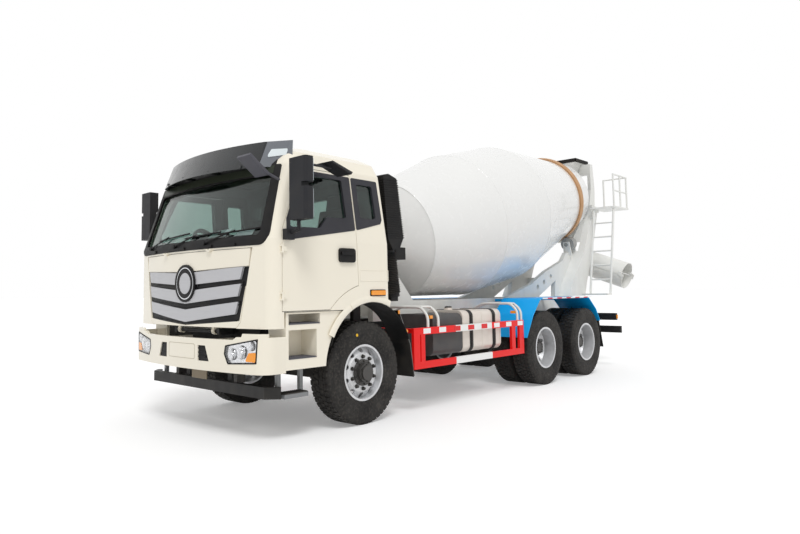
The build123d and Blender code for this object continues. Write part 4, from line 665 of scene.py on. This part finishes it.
def seen_directly(tree, low, high):
    """A strength: high for rays from the camera, from mirrors and through glass, else low."""
    path = tree.nodes.new("ShaderNodeLightPath")
    total = path.outputs["Is Camera Ray"]
    for name in ("Is Glossy Ray", "Is Transmission Ray"):
        joined = tree.nodes.new("ShaderNodeMath")
        joined.operation = "MAXIMUM"
        tree.links.new(total, joined.inputs[0])
        tree.links.new(path.outputs[name], joined.inputs[1])
        total = joined.outputs["Value"]
    node = tree.nodes.new("ShaderNodeMapRange")
    tree.links.new(total, node.inputs["Value"])
    node.inputs["To Min"].default_value = low
    node.inputs["To Max"].default_value = high
    return node.outputs["Result"]


WORLD_LIGHT = 0.62
FLOOR_GLOW = 0.24
SUN_POWER = 1.3
SUN_WAY = (0.55, -0.45, 1.0)
FLOOR_REACH = 300.0


def light_scene():
    """White surroundings, one soft sun and a white floor that keeps the shadow."""
    world = bpy.data.worlds.new("world")
    world.use_nodes = True
    tree = world.node_tree
    back = tree.nodes["Background"]
    back.inputs["Color"].default_value = (1.0, 1.0, 1.0, 1.0)
    tree.links.new(seen_directly(tree, WORLD_LIGHT, 1.0), back.inputs["Strength"])
    bpy.context.scene.world = world
    sun = placed("sun", bpy.data.lights.new("sun", "SUN"))
    sun.data.energy = SUN_POWER
    sun.data.angle = math.radians(20)
    sun.rotation_euler = Vector(SUN_WAY).to_track_quat("Z", "Y").to_euler()
    floor = Shape()
    corners = [(x * FLOOR_REACH, y * FLOOR_REACH, 0) for x, y in ((-1, -1), (1, -1), (1, 1), (-1, 1))]
    floor.faces(corners, [(0, 1, 2, 3)])
    white = Finish("floor", Base_Color=(0.86, 0.86, 0.86, 1.0), Roughness=0.9, Emission_Color=(1, 1, 1, 1))
    glow = seen_directly(white.tree, 0.0, FLOOR_GLOW)
    white.put(white.shader.inputs["Emission Strength"], glow)
    floor.ended("floor", "floor")


bpy.context.scene.view_settings.view_transform = "Standard"
place_camera()
light_scene()

# ---- wheels
FRONT_WHEEL_X = (TYRE_LOW.x + TYRE_HIGH.x) / 2
BEAD_HALF = 0.115
BEAD_R = 0.287
CROWN_R = 0.530
PITCHES = 52


def wheel_place(x, y, angle, radius):
    return at(x, y + radius * math.sin(angle), AXLE_Z + radius * math.cos(angle))


def add_lug(tyre, centre_x, axle_y, hand, angle, corners):
    """A tread block; corners are (distance from the middle, share of a pitch, low radius)."""
    pitch = 2 * math.pi / PITCHES
    points = [
        wheel_place(centre_x + hand * x, axle_y, angle + share * pitch, TYRE_R if top else low)
        for top in (False, True) for x, share, low in corners
    ]
    tyre.faces(points, [(3, 2, 1, 0), (4, 5, 6, 7), (0, 1, 5, 4), (1, 2, 6, 5), (2, 3, 7, 6), (3, 0, 4, 7)])


def add_tyre(tyre, centre_x, axle_y, width):
    """A tyre: bulged side walls with raised rings, a rounded shoulder and a blocked tread."""
    half = width / 2
    side = [
        (BEAD_HALF, BEAD_R), (half - 0.021, 0.296), (half - 0.016, 0.312), (half - 0.0145, 0.318),
        (half - 0.0155, 0.324), (half - 0.008, 0.352), (half - 0.002, 0.39), (half, 0.418),
        (half - 0.0035, 0.452), (half - 0.0015, 0.456), (half - 0.0035, 0.461), (half - 0.008, 0.489),
        (half - 0.012, 0.508), (half - 0.022, 0.524), (half - 0.034, 0.5295), (half - 0.07, CROWN_R),
    ]
    profile = side + [(-x, radius) for x, radius in reversed(side)]
    tyre.lathe(profile, at(centre_x, axle_y, AXLE_Z), Vector((1, 0, 0)), 72, closed=True)
    for k in range(PITCHES):
        angle = 2 * math.pi * k / PITCHES
        for hand in (1, -1):
            shift = 0.5 if hand < 0 else 0.0
            add_lug(tyre, centre_x, axle_y, hand, angle, [
                (half - 0.083, shift + 0.02, 0.515), (half - 0.0265, shift + 0.06, 0.514),
                (half - 0.0265, shift + 0.80, 0.514), (half - 0.083, shift + 0.74, 0.515),
            ])
            add_lug(tyre, centre_x, axle_y, hand, angle, [
                (0.005, shift + 0.20, 0.515), (half - 0.091, shift + 0.34, 0.515),
                (half - 0.091, shift + 1.06, 0.515), (0.005, shift + 0.92, 0.515),
            ])


def add_nuts(nuts, face_x, axle_y, hand, radius, count, size, length):
    """Capped nuts round a hub, on the face at face_x."""
    profile = [(-0.004, 1.25), (0.006, 1.25), (0.006, 0.95), (0.75, 0.9), (0.92, 0.6), (0.96, 0.2)]
    for k in range(count):
        angle = 2 * math.pi * k / count
        nuts.lathe(
            [(along * length if along > 0.1 else along, share * size) for along, share in profile],
            wheel_place(face_x, axle_y, angle, radius), Vector((hand, 0, 0)), 10,
        )


TWIN_XS = (1.100, 0.760)
TWIN_W = 0.290
TWIN_FACE_X = 0.942
BOLT_CIRCLE_R = 0.1675
for hand, name in HANDS:
    body = f"wheel_front_{name}"
    tyre = Shape()
    add_tyre(tyre, hand * FRONT_WHEEL_X, 0.0, TYRE_HIGH.x - TYRE_LOW.x)
    tyre.piece(f"tyre_front_{name}_tread", "tyre_rubber", body, "tyre_rubber", smooth=28,
               replaces=[f"tyre_front_{name}"])
    nuts = Shape()
    add_nuts(nuts, hand * (FRONT_WHEEL_X + 0.105), 0.0, hand, BOLT_CIRCLE_R, 10, 0.0175, 0.036)
    add_nuts(nuts, hand * (FRONT_WHEEL_X + 0.125), 0.0, hand, 0.119, 10, 0.008, 0.012)
    add_nuts(nuts, hand * (FRONT_WHEEL_X + 0.165), 0.0, hand, 0.088, 6, 0.006, 0.009)
    nuts.piece(f"wheel_nuts_front_{name}", "dark_steel", body, "cast_parts", smooth=50)
    dot = Shape()
    dot.lathe([(0.13, 0.016), (0.1505, 0.016)], wheel_place(hand * FRONT_WHEEL_X, 0, -0.3, 0.418),
              Vector((hand, 0, 0)), 16)
    dot.piece(f"tyre_dot_{name}", "yellow_paint", body, "tyre_rubber")
    for axle_y, axle_name in ((MID_AXLE, "mid"), (REAR_AXLE, "rear")):
        body = f"wheels_{axle_name}_{name}"
        tyre = Shape()
        for x in TWIN_XS:
            add_tyre(tyre, hand * x, axle_y, TWIN_W)
        tyre.piece(f"tyres_{axle_name}_{name}_tread", "tyre_rubber", body, "tyre_rubber", smooth=28,
                   replaces=[f"tyres_{axle_name}_{name}"])
        nuts = Shape()
        add_nuts(nuts, hand * TWIN_FACE_X, axle_y, hand, BOLT_CIRCLE_R, 10, 0.0175, 0.04)
        add_nuts(nuts, hand * 1.125, axle_y, hand, 0.078, 12, 0.008, 0.01)
        nuts.piece(f"wheel_nuts_{axle_name}_{name}", "dark_steel", body, "cast_parts", smooth=50)

# ---- windscreen, wipers and side windows
SCREEN_STEPS = span(-1.15, 1.15, 0.1) + [-1.19, 1.19]
surround = Shape()
surround.sheet(
    rounded([(-1.205, 1.838), (1.205, 1.838), (1.122, 2.635), (-1.122, 2.635)], [0.11, 0.11, 0.03, 0.03]),
    [rounded([(-1.088, 1.935), (1.088, 1.935), (1.034, 2.53), (-1.034, 2.53)], 0.05)],
    on_front, 0.006, 0.029, SCREEN_STEPS, (1.9,),
)
# the upper strip carries the black surround up over the cab's cream header to under the visor; it is partly
# painted shade, the visor's shadow on the header
surround.sheet([(-1.06, 2.62), (1.06, 2.62), (1.03, 2.70), (-1.03, 2.70)], [], on_front, 0.006, 0.006,
               span(-1.0, 1.0, 0.1), (2.64,))
surround.piece("windscreen_surround", "black_plastic", "cab", "black_plastic", 0.003)
cowl = Shape()
for low, high in ((-0.98, -0.70), (-0.36, -0.02), (0.22, 0.46), (0.51, 0.80)):
    cowl.sheet(rounded(oblong(low, high, 1.846, 1.876), 0.01), [],
               on_front, 0.02, 0.02, span(low, high, 0.08))
cowl.piece("cowl_vents", "black_plastic", "cab", "black_plastic", 0.003)


def along_front(start, end, lift, end_lift, count):
    """Places over the cab's front from one point to another."""
    shares = [k / count for k in range(count + 1)]
    return [on_front(start[0] + (end[0] - start[0]) * share, start[1] + (end[1] - start[1]) * share,
                     lift + (end_lift - lift) * share) for share in shares]


wipers = Shape()
for pivot, elbow, start, end in (
    ((-0.839, 1.905), (-0.45, 2.01), (-0.70, 1.985), (-0.02, 2.02)),
    ((-0.216, 1.890), (0.12, 1.985), (-0.08, 1.970), (0.53, 1.998)),
    ((0.353, 1.892), (0.75, 2.000), (0.50, 1.975), (1.08, 2.007)),
):
    wipers.tube([on_front(*pivot, 0.0), on_front(*pivot, 0.036)], 0.02, 16)
    wipers.tube(along_front(pivot, elbow, 0.026, 0.006, 4), 0.0075, 8)
    wipers.tube(along_front(start, end, -0.008, -0.008, 8), 0.009, 8)
wipers.piece("wipers", "black_plastic", "cab", "black_plastic")
# olive bands: the first, behind the glass, is the screen's tinted sun strip; the second, on the surround
# under the visor, is partly that tint and partly painted shade, the visor's shadow
tint_and_shadow_bands = Shape()
tint_and_shadow_bands.sheet([(-1.035, 2.47), (1.035, 2.47), (1.03, 2.556), (-1.03, 2.556)], [], on_front, -0.031, 0.003,
             span(-1.0, 1.0, 0.1))
tint_and_shadow_bands.sheet([(-1.05, 2.545), (1.05, 2.545), (1.045, 2.625), (-1.045, 2.625)], [], on_front, 0.0085, 0.003,
             span(-1.0, 1.0, 0.1))
tint_and_shadow_bands.piece("screen_tint_band_and_visor_shadow", "olive_tint_and_visor_shadow", "cab", "cabin_trim")
cards = Shape()
for card in (
    [(-0.555, 1.945), (-0.352, 1.948), (-0.288, 1.985), (-0.459, 1.986)],
    [(0.312, 1.951), (0.594, 1.952), (0.666, 2.022), (0.461, 2.012)],
    [(0.716, 1.945), (0.955, 1.945), (0.979, 2.005), (0.784, 2.004)],
):
    cards.sheet(card, [], on_front, -0.031, 0.002)
cards.piece("screen_cards", "card", "cab", "cabin_trim")

DOOR_WINDOW = [
    (-1.090, 2.009), (-0.697, 2.020), (-0.600, 2.135), (-0.330, 2.140), (-0.375, 2.545), (-0.885, 2.545),
    (-1.090, 2.085),
]
DOOR_BAND = [(-1.132, 1.885), (-0.213, 2.028), (-0.266, 2.585), (-0.915, 2.585), (-1.128, 2.09)]
QUARTER_WINDOW = [(-0.135, 2.160), (0.120, 2.160), (0.075, 2.530), (-0.175, 2.530)]
QUARTER_BAND = [(-0.194, 2.031), (0.182, 2.122), (0.206, 2.17), (0.150, 2.585), (-0.245, 2.585)]
ARCH_Y = 0.030
ARCH_Z = 0.640
LINER_X = 0.930
LINER_W = 0.308
LINER_R = 0.642
LINER_T = 0.008
FLARE_SECTION = (       # distance from the middle plane, radius
    (1.236, 0.643), (1.2495, 0.643), (1.2535, 0.650), (1.2515, 0.700), (1.243, 0.712), (1.236, 0.712),
)


def on_arch(x, radius, angle):
    """A place on a front wheel arch."""
    return at(x, ARCH_Y + radius * math.cos(angle), ARCH_Z + radius * math.sin(angle))


for hand, name in HANDS:
    skin = on_side(hand)
    for part, body, outline, hole, radius in (
        ("door", f"door_{name}", DOOR_BAND, DOOR_WINDOW, 0.022),
        ("quarter", "cab", QUARTER_BAND, QUARTER_WINDOW, 0.03),
    ):
        band = Shape()
        band.sheet(rounded(outline, 0.02), [rounded(grown(hole, -0.006), radius)], skin, 0.004, 0.025)
        band.piece(f"{part}_window_band_{name}", "band_plastic", body, "black_plastic", 0.002)
    handle = Shape()
    handle.sheet(rounded(oblong(-0.466, -0.238, 1.692, 1.836), 0.032), [], skin, 0.0245, 0.024)
    handle.sheet(rounded(oblong(-0.45, -0.255, 1.765, 1.80), 0.012), [], skin, 0.042, 0.010)
    for low in (-0.445, -0.29):
        handle.sheet(oblong(low, low + 0.03, 1.768, 1.797), [], skin, 0.036, 0.014)
    handle.piece(f"door_handle_{name}", "black_plastic", f"door_{name}", "black_plastic", 0.002)
    marker = Shape()
    marker.sheet(rounded(oblong(0.004, 0.225, 1.355, 1.404), 0.012), [], skin, 0.018, 0.02)
    marker.piece(f"side_marker_{name}", "amber", "cab", "lamp_lens", 0.003)
    marker = Shape()
    marker.sheet(rounded(oblong(-0.006, 0.235, 1.345, 1.414), 0.014), [], skin, 0.006, 0.008)
    marker.piece(f"side_marker_base_{name}", "black_plastic", "cab", "black_plastic")
    crease = Shape()
    crease.sheet(oblong(-0.155, 0.285, 1.500, 1.62),
                 [oblong(-0.148, 0.278, 1.507, 1.613)], skin, 0.003, 0.004)
    crease.piece(f"cab_side_crease_{name}", "cab_paint", "cab", "cab_paint", 0.0015)
    # the arch is part cab, and below the cab's lip part step box
    for part, body, liner_span, flare_span in (
        ("", "cab", (20, 118, 7), (66, 118, 4)), ("step_", "chassis", (118.5, 160, 7), (118.5, 152, 4)),
    ):
        liner = Shape()
        arch = [math.radians(angle) for angle in span(*liner_span)]
        outer = [on_arch(hand * LINER_X, LINER_R, a) for a in arch]
        inner = [on_arch(hand * LINER_X, LINER_R - LINER_T, a) for a in reversed(arch)]
        liner.prism(outer + inner, Vector((hand * LINER_W, 0, 0)))
        liner.piece(f"{part}arch_liner_{name}", "black_plastic", body, "black_plastic")
        flare = Shape()
        flare.rings([[on_arch(hand * x, radius, math.radians(angle)) for x, radius in FLARE_SECTION]
                     for angle in span(*flare_span)])
        flare.piece(f"{part}arch_flare_{name}", "cab_paint", body, "cab_paint", smooth=50)
    glasses = Shape()
    for low, high in ((2.082, 2.340), (2.418, 2.625)):
        glasses.box((1.345, 1.545), (-1.061, -1.0565), (low, high), hand)
    glasses.piece(f"mirror_glass_{name}", "mirror", f"door_{name}", "lamp_lens", 0.002)

# ---- visor lamps
def on_wing(hand):
    """A place on the visor's side wing: share of its width, height, lift."""
    def project(share, z, lift):
        up = (z - 2.615) / 0.270
        bend = Vector((0.910 - 0.030 * up, -1.205 + 0.095 * up))
        tip = Vector((1.150 - 0.020 * up, -0.985 + 0.030 * up))
        way = (tip - bend).normalized()
        place = bend.lerp(tip, share) + Vector((way.y, -way.x)) * lift
        return at(hand * place.x, place.y, z)
    return project


for hand, name in HANDS:
    lamp = Shape()
    lamp.sheet(rounded([(0.16, 2.715), (0.80, 2.735), (0.86, 2.80), (0.30, 2.80)], 0.02, 4), [],
               on_wing(hand), 0.005, 0.009)
    lamp.piece(f"visor_lamp_{name}", "card", "cab", "lamp_lens", 0.002)

# ---- grille, badge, lamps and bumper
GRILLE_OUTLINE = [
    (-0.970, 1.650), (-0.845, 1.130), (0.0, 1.075), (0.845, 1.130), (0.970, 1.650), (0.0, 1.620),
]
GRILLE_STEPS = span(-0.9, 0.9, 0.1)
BADGE_Z = 1.500
BAR_H = 0.014
grille_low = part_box("grille")[0]
mesh_sheet = Shape()
mesh_sheet.sheet(grown(GRILLE_OUTLINE, -0.007), [], on_front, -0.013, 0.008, GRILLE_STEPS)
for middle in (1.645, 1.447, 1.262, 1.085):
    reach = 0.80 + 0.25 * (middle - 1.085)
    for low in (-0.028, -0.004):
        point = middle + low
        ends = point + 0.045
        mesh_sheet.sheet(
            [(-reach, ends), (0, point), (reach, ends), (reach, ends + BAR_H), (0, point + BAR_H),
             (-reach, ends + BAR_H)],
            [], on_front, -0.002, 0.014, GRILLE_STEPS,
        )
mesh_sheet.piece("grille_back", "black_plastic", "front_panel", "black_plastic")
face_y = grille_low.y - FRONT_AXLE_Y
for name, finish, profile in (
    ("badge_rim", "black_plastic", [(-0.02, 0.192), (0.010, 0.192), (0.014, 0.186), (0.014, 0.170),
                                    (0.006, 0.163), (-0.02, 0.163)]),
    ("badge_ring", "chrome", [(0.0, 0.164), (0.0085, 0.164), (0.0085, 0.155), (0.0, 0.155)]),
    ("badge_disc", "black_plastic", [(-0.02, 0.0005), (-0.02, 0.163), (0.003, 0.163), (0.006, 0.15),
                                     (0.006, 0.0005)]),
    ("badge_dome", "trim_silver", [(0.0, 0.0005), (0.0, 0.110), (0.008, 0.108), (0.013, 0.09), (0.016, 0.06),
                                   (0.017, 0.0005)]),
):
    ring = Shape()
    hollow = name in ("badge_rim", "badge_ring")
    ring.lathe(profile, at(0, face_y, BADGE_Z), Vector((0, -1, 0)), 64, closed=hollow)
    ring.piece(name, finish, "front_panel", "trim_silver")

LAMP_OUTLINE = [(0.705, 0.823), (0.720, 0.904), (1.139, 0.975), (1.124, 0.748), (0.755, 0.728)]
VENT_OUTLINE = [(0.300, 0.740), (0.300, 0.890), (0.420, 0.890), (0.480, 0.740)]
LAMP_STEPS = span(0.72, 1.13, 0.06)


def lamp_sheet(name, finish, outline, holes, lift, thickness, hand, replaces=()):
    """A sheet of a headlamp on one side."""
    sheet = Shape()
    sheet.sheet(mirrored(outline, hand), [mirrored(hole, hand) for hole in holes], on_bumper, lift, thickness,
                [hand * step for step in LAMP_STEPS])
    sheet.piece(name, finish, "chassis", "lamp_lens", replaces=replaces)


for hand, name in HANDS:
    inner = rounded(grown(LAMP_OUTLINE, -0.012), 0.02)
    lamp_sheet(f"headlamp_rim_{name}", "black_plastic", rounded(grown(LAMP_OUTLINE, -0.002), 0.02), [inner],
               0.003, 0.028, hand, ["headlamps"] if hand > 0 else ())
    lamp_sheet(f"headlamp_back_{name}", "chrome", inner, [], -0.020, 0.005, hand)
    lamp_sheet(f"headlamp_lens_{name}", "clear_lens", inner, [], 0.0, 0.003, hand)
    lamp_sheet(f"headlamp_indicator_{name}", "amber",
               rounded([(0.985, 0.765), (1.112, 0.762), (1.118, 0.850), (1.03, 0.845)], 0.012), [],
               0.002, 0.004, hand)
    bowls = Shape()
    for x, z, radius in ((0.80, 0.822, 0.058), (0.92, 0.845, 0.066), (1.045, 0.905, 0.045)):
        centre = on_bumper(hand * x, z, -0.019)
        way = on_bumper(hand * x, z, 0.05) - centre
        profile = [(0.0, 1.0), (0.013, 1.0), (0.013, 0.92), (0.002, 0.5), (0.002, 0.3), (0.012, 0.2)]
        profile = [(along, radius * share) for along, share in profile] + [(0.013, 0.0005), (0.0, 0.0005)]
        bowls.lathe(profile, centre, way, 28)
    bowls.piece(f"headlamp_bowls_{name}", "chrome", "chassis", "lamp_lens")
    vent = Shape()
    vent.sheet(mirrored(grown(VENT_OUTLINE, -0.001), hand), [], on_bumper, -0.012, 0.012)
    for low in (0.775, 0.815, 0.855):
        vent.sheet(mirrored(oblong(0.304, 0.425, low, low + 0.012), hand), [], on_bumper, -0.003, 0.01)
    vent.piece(f"bumper_vent_{name}", "black_plastic", "chassis", "black_plastic")
    ledge = Shape()
    ledge.sheet(mirrored([(0.93, 0.980), (1.20, 0.980), (1.20, 1.018), (0.95, 1.018)], hand), [], on_bumper,
                0.0, 0.028, [hand * step for step in span(0.96, 1.18, 0.03)])
    ledge.piece(f"bumper_ledge_{name}", "cab_paint", "chassis", "cab_paint", 0.004)
seam_ring = Shape()
seam_ring.sheet(rounded(oblong(-0.25, 0.25, 0.75, 0.90), 0.02),
                [rounded(oblong(-0.245, 0.245, 0.755, 0.895), 0.017)],
                on_bumper, 0.0012, 0.003, span(-0.2, 0.2, 0.1))
seam_ring.piece("bumper_plate_seam", "seam", "chassis", "cab_paint")
core = Shape()
core.box((-0.86, 0.86), (-1.152, -1.134), (0.655, 1.045))
core.piece("cooler_front", "black_plastic", "chassis", "black_plastic", 0.003)
under = Shape()
under.box((-0.14, 0.14), (-1.29, -1.278), (0.52, 0.66))
under.piece("bumper_under_plate", "tan_paint", "chassis", "chassis_paint", 0.003)
struts = Shape()
for hand in (1, -1):
    struts.box((0.10, 0.13), (-1.28, -1.06), (0.60, 0.66), hand)
    struts.box((0.52, 0.58), (-1.22, -1.12), (0.51, 0.66), hand)
struts.piece("bumper_under_struts", "dark_steel", "chassis", "chassis_paint", 0.003)

# ---- steps
for hand, name in HANDS:
    treads = Shape()
    for floor_z, rear in ((0.770, -0.748), (1.092, -0.703)):
        treads.box((0.995, 1.226), (-1.092, rear), (floor_z - 0.001, floor_z + 0.008), hand)
        for x in span(1.02, 1.21, 0.022):
            treads.box((x, x + 0.009), (-1.085, rear - 0.008), (floor_z + 0.007, floor_z + 0.013), hand)
    treads.piece(f"step_treads_{name}", "grey_plastic", "chassis", "grey_plastic", 0.0015)
    grip = Shape()
    grip.box((1.022, 1.158), (-1.093, -0.802), (0.439, 0.447), hand)
    for y in span(-1.08, -0.82, 0.026):
        grip.box((1.026, 1.154), (y, y + 0.010), (0.446, 0.453), hand)
    grip.piece(f"hanging_step_tread_{name}", "dark_steel", "chassis", "chassis_paint", 0.001)

# ---- side guards, tanks and flaps
BLOCK = 0.15
GUARD_FACE_X = 1.205
tapes = {f"{place}_tape_{colour}": Shape() for place in ("guard", "fender") for colour in ("white", "red")}
for hand in (1, -1):
    for k, y in enumerate(span(0.78, 3.03, BLOCK)):
        white_zone = GUARD_WHITE[0] <= y + 0.04 <= GUARD_WHITE[1]
        if k % 2:
            tapes["guard_tape_red" if white_zone else "guard_tape_white"].box(
                (GUARD_FACE_X - 0.001, GUARD_FACE_X + 0.001), (y, y + 0.9 * BLOCK), (0.897, 0.957), hand)
    for k, y in enumerate(span(3.70, 5.20, BLOCK)):
        tapes["fender_tape_red" if k % 2 else "fender_tape_white"].box(
            (1.236, 1.2435), (y, y + BLOCK), (1.252, 1.2695), hand)
for name, tape in tapes.items():
    tape.piece(name, name.split("_", 1)[1], "chassis", "guard_paint")

TANK_X = (0.560, 1.140)
TANK_Z = (0.610, 1.140)
TANK_R = 0.085
bands = Shape()
for y in (1.822, 2.245, 2.668):
    rings = []
    for place, grow in ((y - 0.011, 0.003), (y + 0.011, 0.003), (y + 0.011, -0.004), (y - 0.011, -0.004)):
        corners = oblong(TANK_X[0] - grow, TANK_X[1] + grow, TANK_Z[0] - grow, TANK_Z[1] + grow)
        rings.append([at(x, place, z) for x, z in rounded(corners, TANK_R + grow)])
    bands.rings(rings, closed=True)
bands.piece("tank_bands", "tank_alloy", "chassis", "tank_alloy", smooth=40)
fittings = Shape()
for y in (1.990, 2.520):
    for z in (0.70, 1.05):
        fittings.box((1.143, 1.158), (y - 0.012, y + 0.012), (z - 0.03, z + 0.03))
    fittings.tube([at(1.15, y, 0.735), at(1.15, y, 1.02)], 0.006, 8)
fittings.lathe([(0.0, 0.048), (0.018, 0.046), (0.022, 0.03), (0.022, 0.0005)],
               at(0.85, 1.90, 1.168), Vector((0, 0, 1)), 28)
fittings.piece("tank_fittings", "dark_steel", "chassis", "strap_paint", 0.001)
FLAP_EDGE_X = 1.176
FLAP_EDGE_W = 0.016
FLAP_EDGE_T = 0.006
for hand, name in HANDS:
    edge = Shape()
    flap = [(0.512, 1.180), (0.592, 1.020), (0.700, 0.800), (0.765, 0.430)]
    for (y0, z0), (y1, z1) in zip(flap, flap[1:]):
        strip = ((y0, z0), (y1, z1), (y1 + FLAP_EDGE_T, z1), (y0 + FLAP_EDGE_T, z0))
        edge.prism([at(hand * FLAP_EDGE_X, y, z) for y, z in strip], Vector((hand * FLAP_EDGE_W, 0, 0)))
    edge.piece(f"flap_edge_{name}", "steel", "chassis", "chassis_paint")
    amber = Shape()
    amber.lathe([(-0.004, 0.022), (0.006, 0.022), (0.010, 0.016), (0.010, 0.0005)],
                at(hand * 1.19, 0.64, 0.94), Vector((hand, 0, 0)), 20)
    amber.box((1.19, 1.196), (0.50, 0.53), (1.14, 1.18), hand)
    for y in (1.12, 3.02):
        amber.box((1.10, 1.16), (y, y + 0.05), (1.062, 1.10), hand)
    amber.piece(f"side_reflectors_{name}", "amber", "chassis", "lamp_lens", 0.002)


BEND_STEPS = 5


def bent(points, reach):
    """A path with its corners rounded, starting a turn at reach from each corner."""
    result = [points[0]]
    for before, corner, after in zip(points, points[1:], points[2:]):
        start = corner + (before - corner).normalized() * reach
        end = corner + (after - corner).normalized() * reach
        for k in range(BEND_STEPS + 1):
            share = k / BEND_STEPS
            result.append(start.lerp(corner, share).lerp(corner.lerp(end, share), share))
    return result + [points[-1]]


BRACKET_PATH = ((0.40, 1.10), (0.62, 1.20), (1.08, 1.20), (1.185, 1.10), (1.185, 0.955))     # x, z
BRACKET_PAIRS = ((1.04, 1.24), (3.06, 3.16))
rails = Shape()
for hand in (1, -1):
    for y in BRACKET_PAIRS[0] + BRACKET_PAIRS[1]:
        rails.tube(bent([at(hand * x, y, z) for x, z in BRACKET_PATH], 0.06), 0.017, 12)
    for pair in BRACKET_PAIRS:
        rails.tube([at(hand * 1.08, y, 1.20) for y in pair], 0.012, 10)
rails.piece("guard_brackets", "white_paint", "chassis", "white_paint", smooth=60)

# ---- frame details
FRAME_SIDE_X = 0.430
bolts = Shape()
for hand in (1, -1):
    for y in span(0.9, 6.3, 0.30):
        for z in (0.80, 0.96):
            bolts.lathe([(-0.002, 0.014), (0.009, 0.014), (0.009, 0.0005)],
                        at(hand * FRAME_SIDE_X, y, z), Vector((hand, 0, 0)), 6)
bolts.piece("frame_bolts", "dark_steel", "chassis", "chassis_paint")
pipes = Shape()
for x, z, radius in ((0.442, 0.905, 0.008), (0.442, 0.925, 0.008), (0.445, 0.875, 0.012)):
    for hand in (1, -1):
        pipes.tube([at(hand * x, 0.75, z), at(hand * x, 6.30, z)], radius, 8)
pipes.piece("frame_pipes", "dark_steel", "chassis", "chassis_paint")

# ---- air intake
slats = Shape()
for z in span(2.00, 2.65, 0.026):
    front = 0.330 + (2.70 - z) * 0.097
    rear = 0.560 + (2.68 - z) * 0.154
    slats.box((0.873, 1.157), (front - 0.006, rear + 0.006), (z, z + 0.011))
slats.piece("intake_slats", "black_plastic", "chassis", "black_plastic")
bellows = Shape()
profile = []
for along in span(0.04, 0.50, 0.02):
    profile += [(along, 0.094), (along + 0.01, 0.106)]
foot = at(1.0, 0.62, 1.33)
hose_way = at(1.0, 0.54, 1.88) - foot
bellows.lathe(profile, foot, hose_way, 28)
bellows.piece("intake_bellows", "flap_rubber", "chassis", "black_plastic", smooth=25)

# ---- drum and hopper
DRUM_T = math.radians(12.38)
DRUM_WAY = Vector((0, math.cos(DRUM_T), math.sin(DRUM_T)))
DRUM_FOOT = at(0, 1.418, 2.033)
WELD_SECTION = ((-0.012, -0.004), (-0.005, 0.0035), (0.005, 0.0035), (0.012, -0.004), (0.0, -0.012))
welds = Shape()
for station, radius in ((0.31, 0.798), (1.665, 1.085), (2.90, 1.130)):
    profile = [(station + along, radius + out) for along, out in WELD_SECTION]
    welds.lathe(profile, DRUM_FOOT, DRUM_WAY, 96, closed=True)
welds.piece("drum_welds", "drum_paint", "drum", "drum_paint", smooth=50)
BLADE_START = 4.35
BLADE_STEP = 0.0225
BLADE_TURN = math.radians(9)
BLADE_INNER_R = 0.44
BLADE_HALF_T = 0.004
blades = Shape()
across_way = Vector((1, 0, 0))
up_way = DRUM_WAY.cross(across_way) * -1
for start in (0.0, math.pi):
    rings = []
    for k in range(41):
        angle = start + BLADE_TURN * k
        out = math.cos(angle) * across_way + math.sin(angle) * up_way
        station = BLADE_START + BLADE_STEP * k
        # just inside the mouth's wall, which narrows towards the rear
        outer = 0.815 - (station - 4.60) * 0.165 - 0.03
        centre = DRUM_FOOT + DRUM_WAY * station
        rings.append([centre + out * radius + DRUM_WAY * along for radius, along in (
            (outer, -BLADE_HALF_T), (outer, BLADE_HALF_T),
            (BLADE_INNER_R, BLADE_HALF_T), (BLADE_INNER_R, -BLADE_HALF_T))])
    blades.rings(rings)
blades.piece("drum_blades", "steel", "drum", "drum_paint")
HOPPER_X = (-0.482, 0.482)
HOPPER_Y = (6.588, 7.132)
RIM_T = 0.018
rim = Shape()
for x, y in (
    (HOPPER_X, (HOPPER_Y[0], HOPPER_Y[0] + RIM_T)), (HOPPER_X, (HOPPER_Y[1] - RIM_T, HOPPER_Y[1])),
    ((HOPPER_X[0], HOPPER_X[0] + RIM_T), HOPPER_Y), ((HOPPER_X[1] - RIM_T, HOPPER_X[1]), HOPPER_Y),
):
    rim.box(x, y, (3.83, 3.90))
rim.piece("hopper_rim", "flap_rubber", "chassis", "flap_rubber", 0.004)

# ---- rear end
REAR_FACE_Y = 6.449
LAMP_Z = (0.858, 0.935)
for hand, name in HANDS:
    for label, finish, x, y, z in (
        ("stop", "red_lens", (0.76, 0.98), (REAR_FACE_Y, 6.466), LAMP_Z),
        ("turn", "amber", (0.99, 1.12), (REAR_FACE_Y, 6.466), LAMP_Z),
        ("end", "amber", (1.205, 1.225), (6.40, 6.44), (0.86, 0.93)),
        ("reverse", "clear_lens", (0.66, 0.75), (REAR_FACE_Y, 6.466), LAMP_Z),
    ):
        lamp = Shape()
        lamp.box(x, y, z, hand)
        lamp.piece(f"lamp_{label}_{name}", finish, "chassis", "lamp_lens", 0.003)
plate = Shape()
plate.box((-0.62, -0.48), (REAR_FACE_Y, 6.452), (0.85, 0.94))
plate.piece("rear_plate", "card", "chassis", "white_paint")
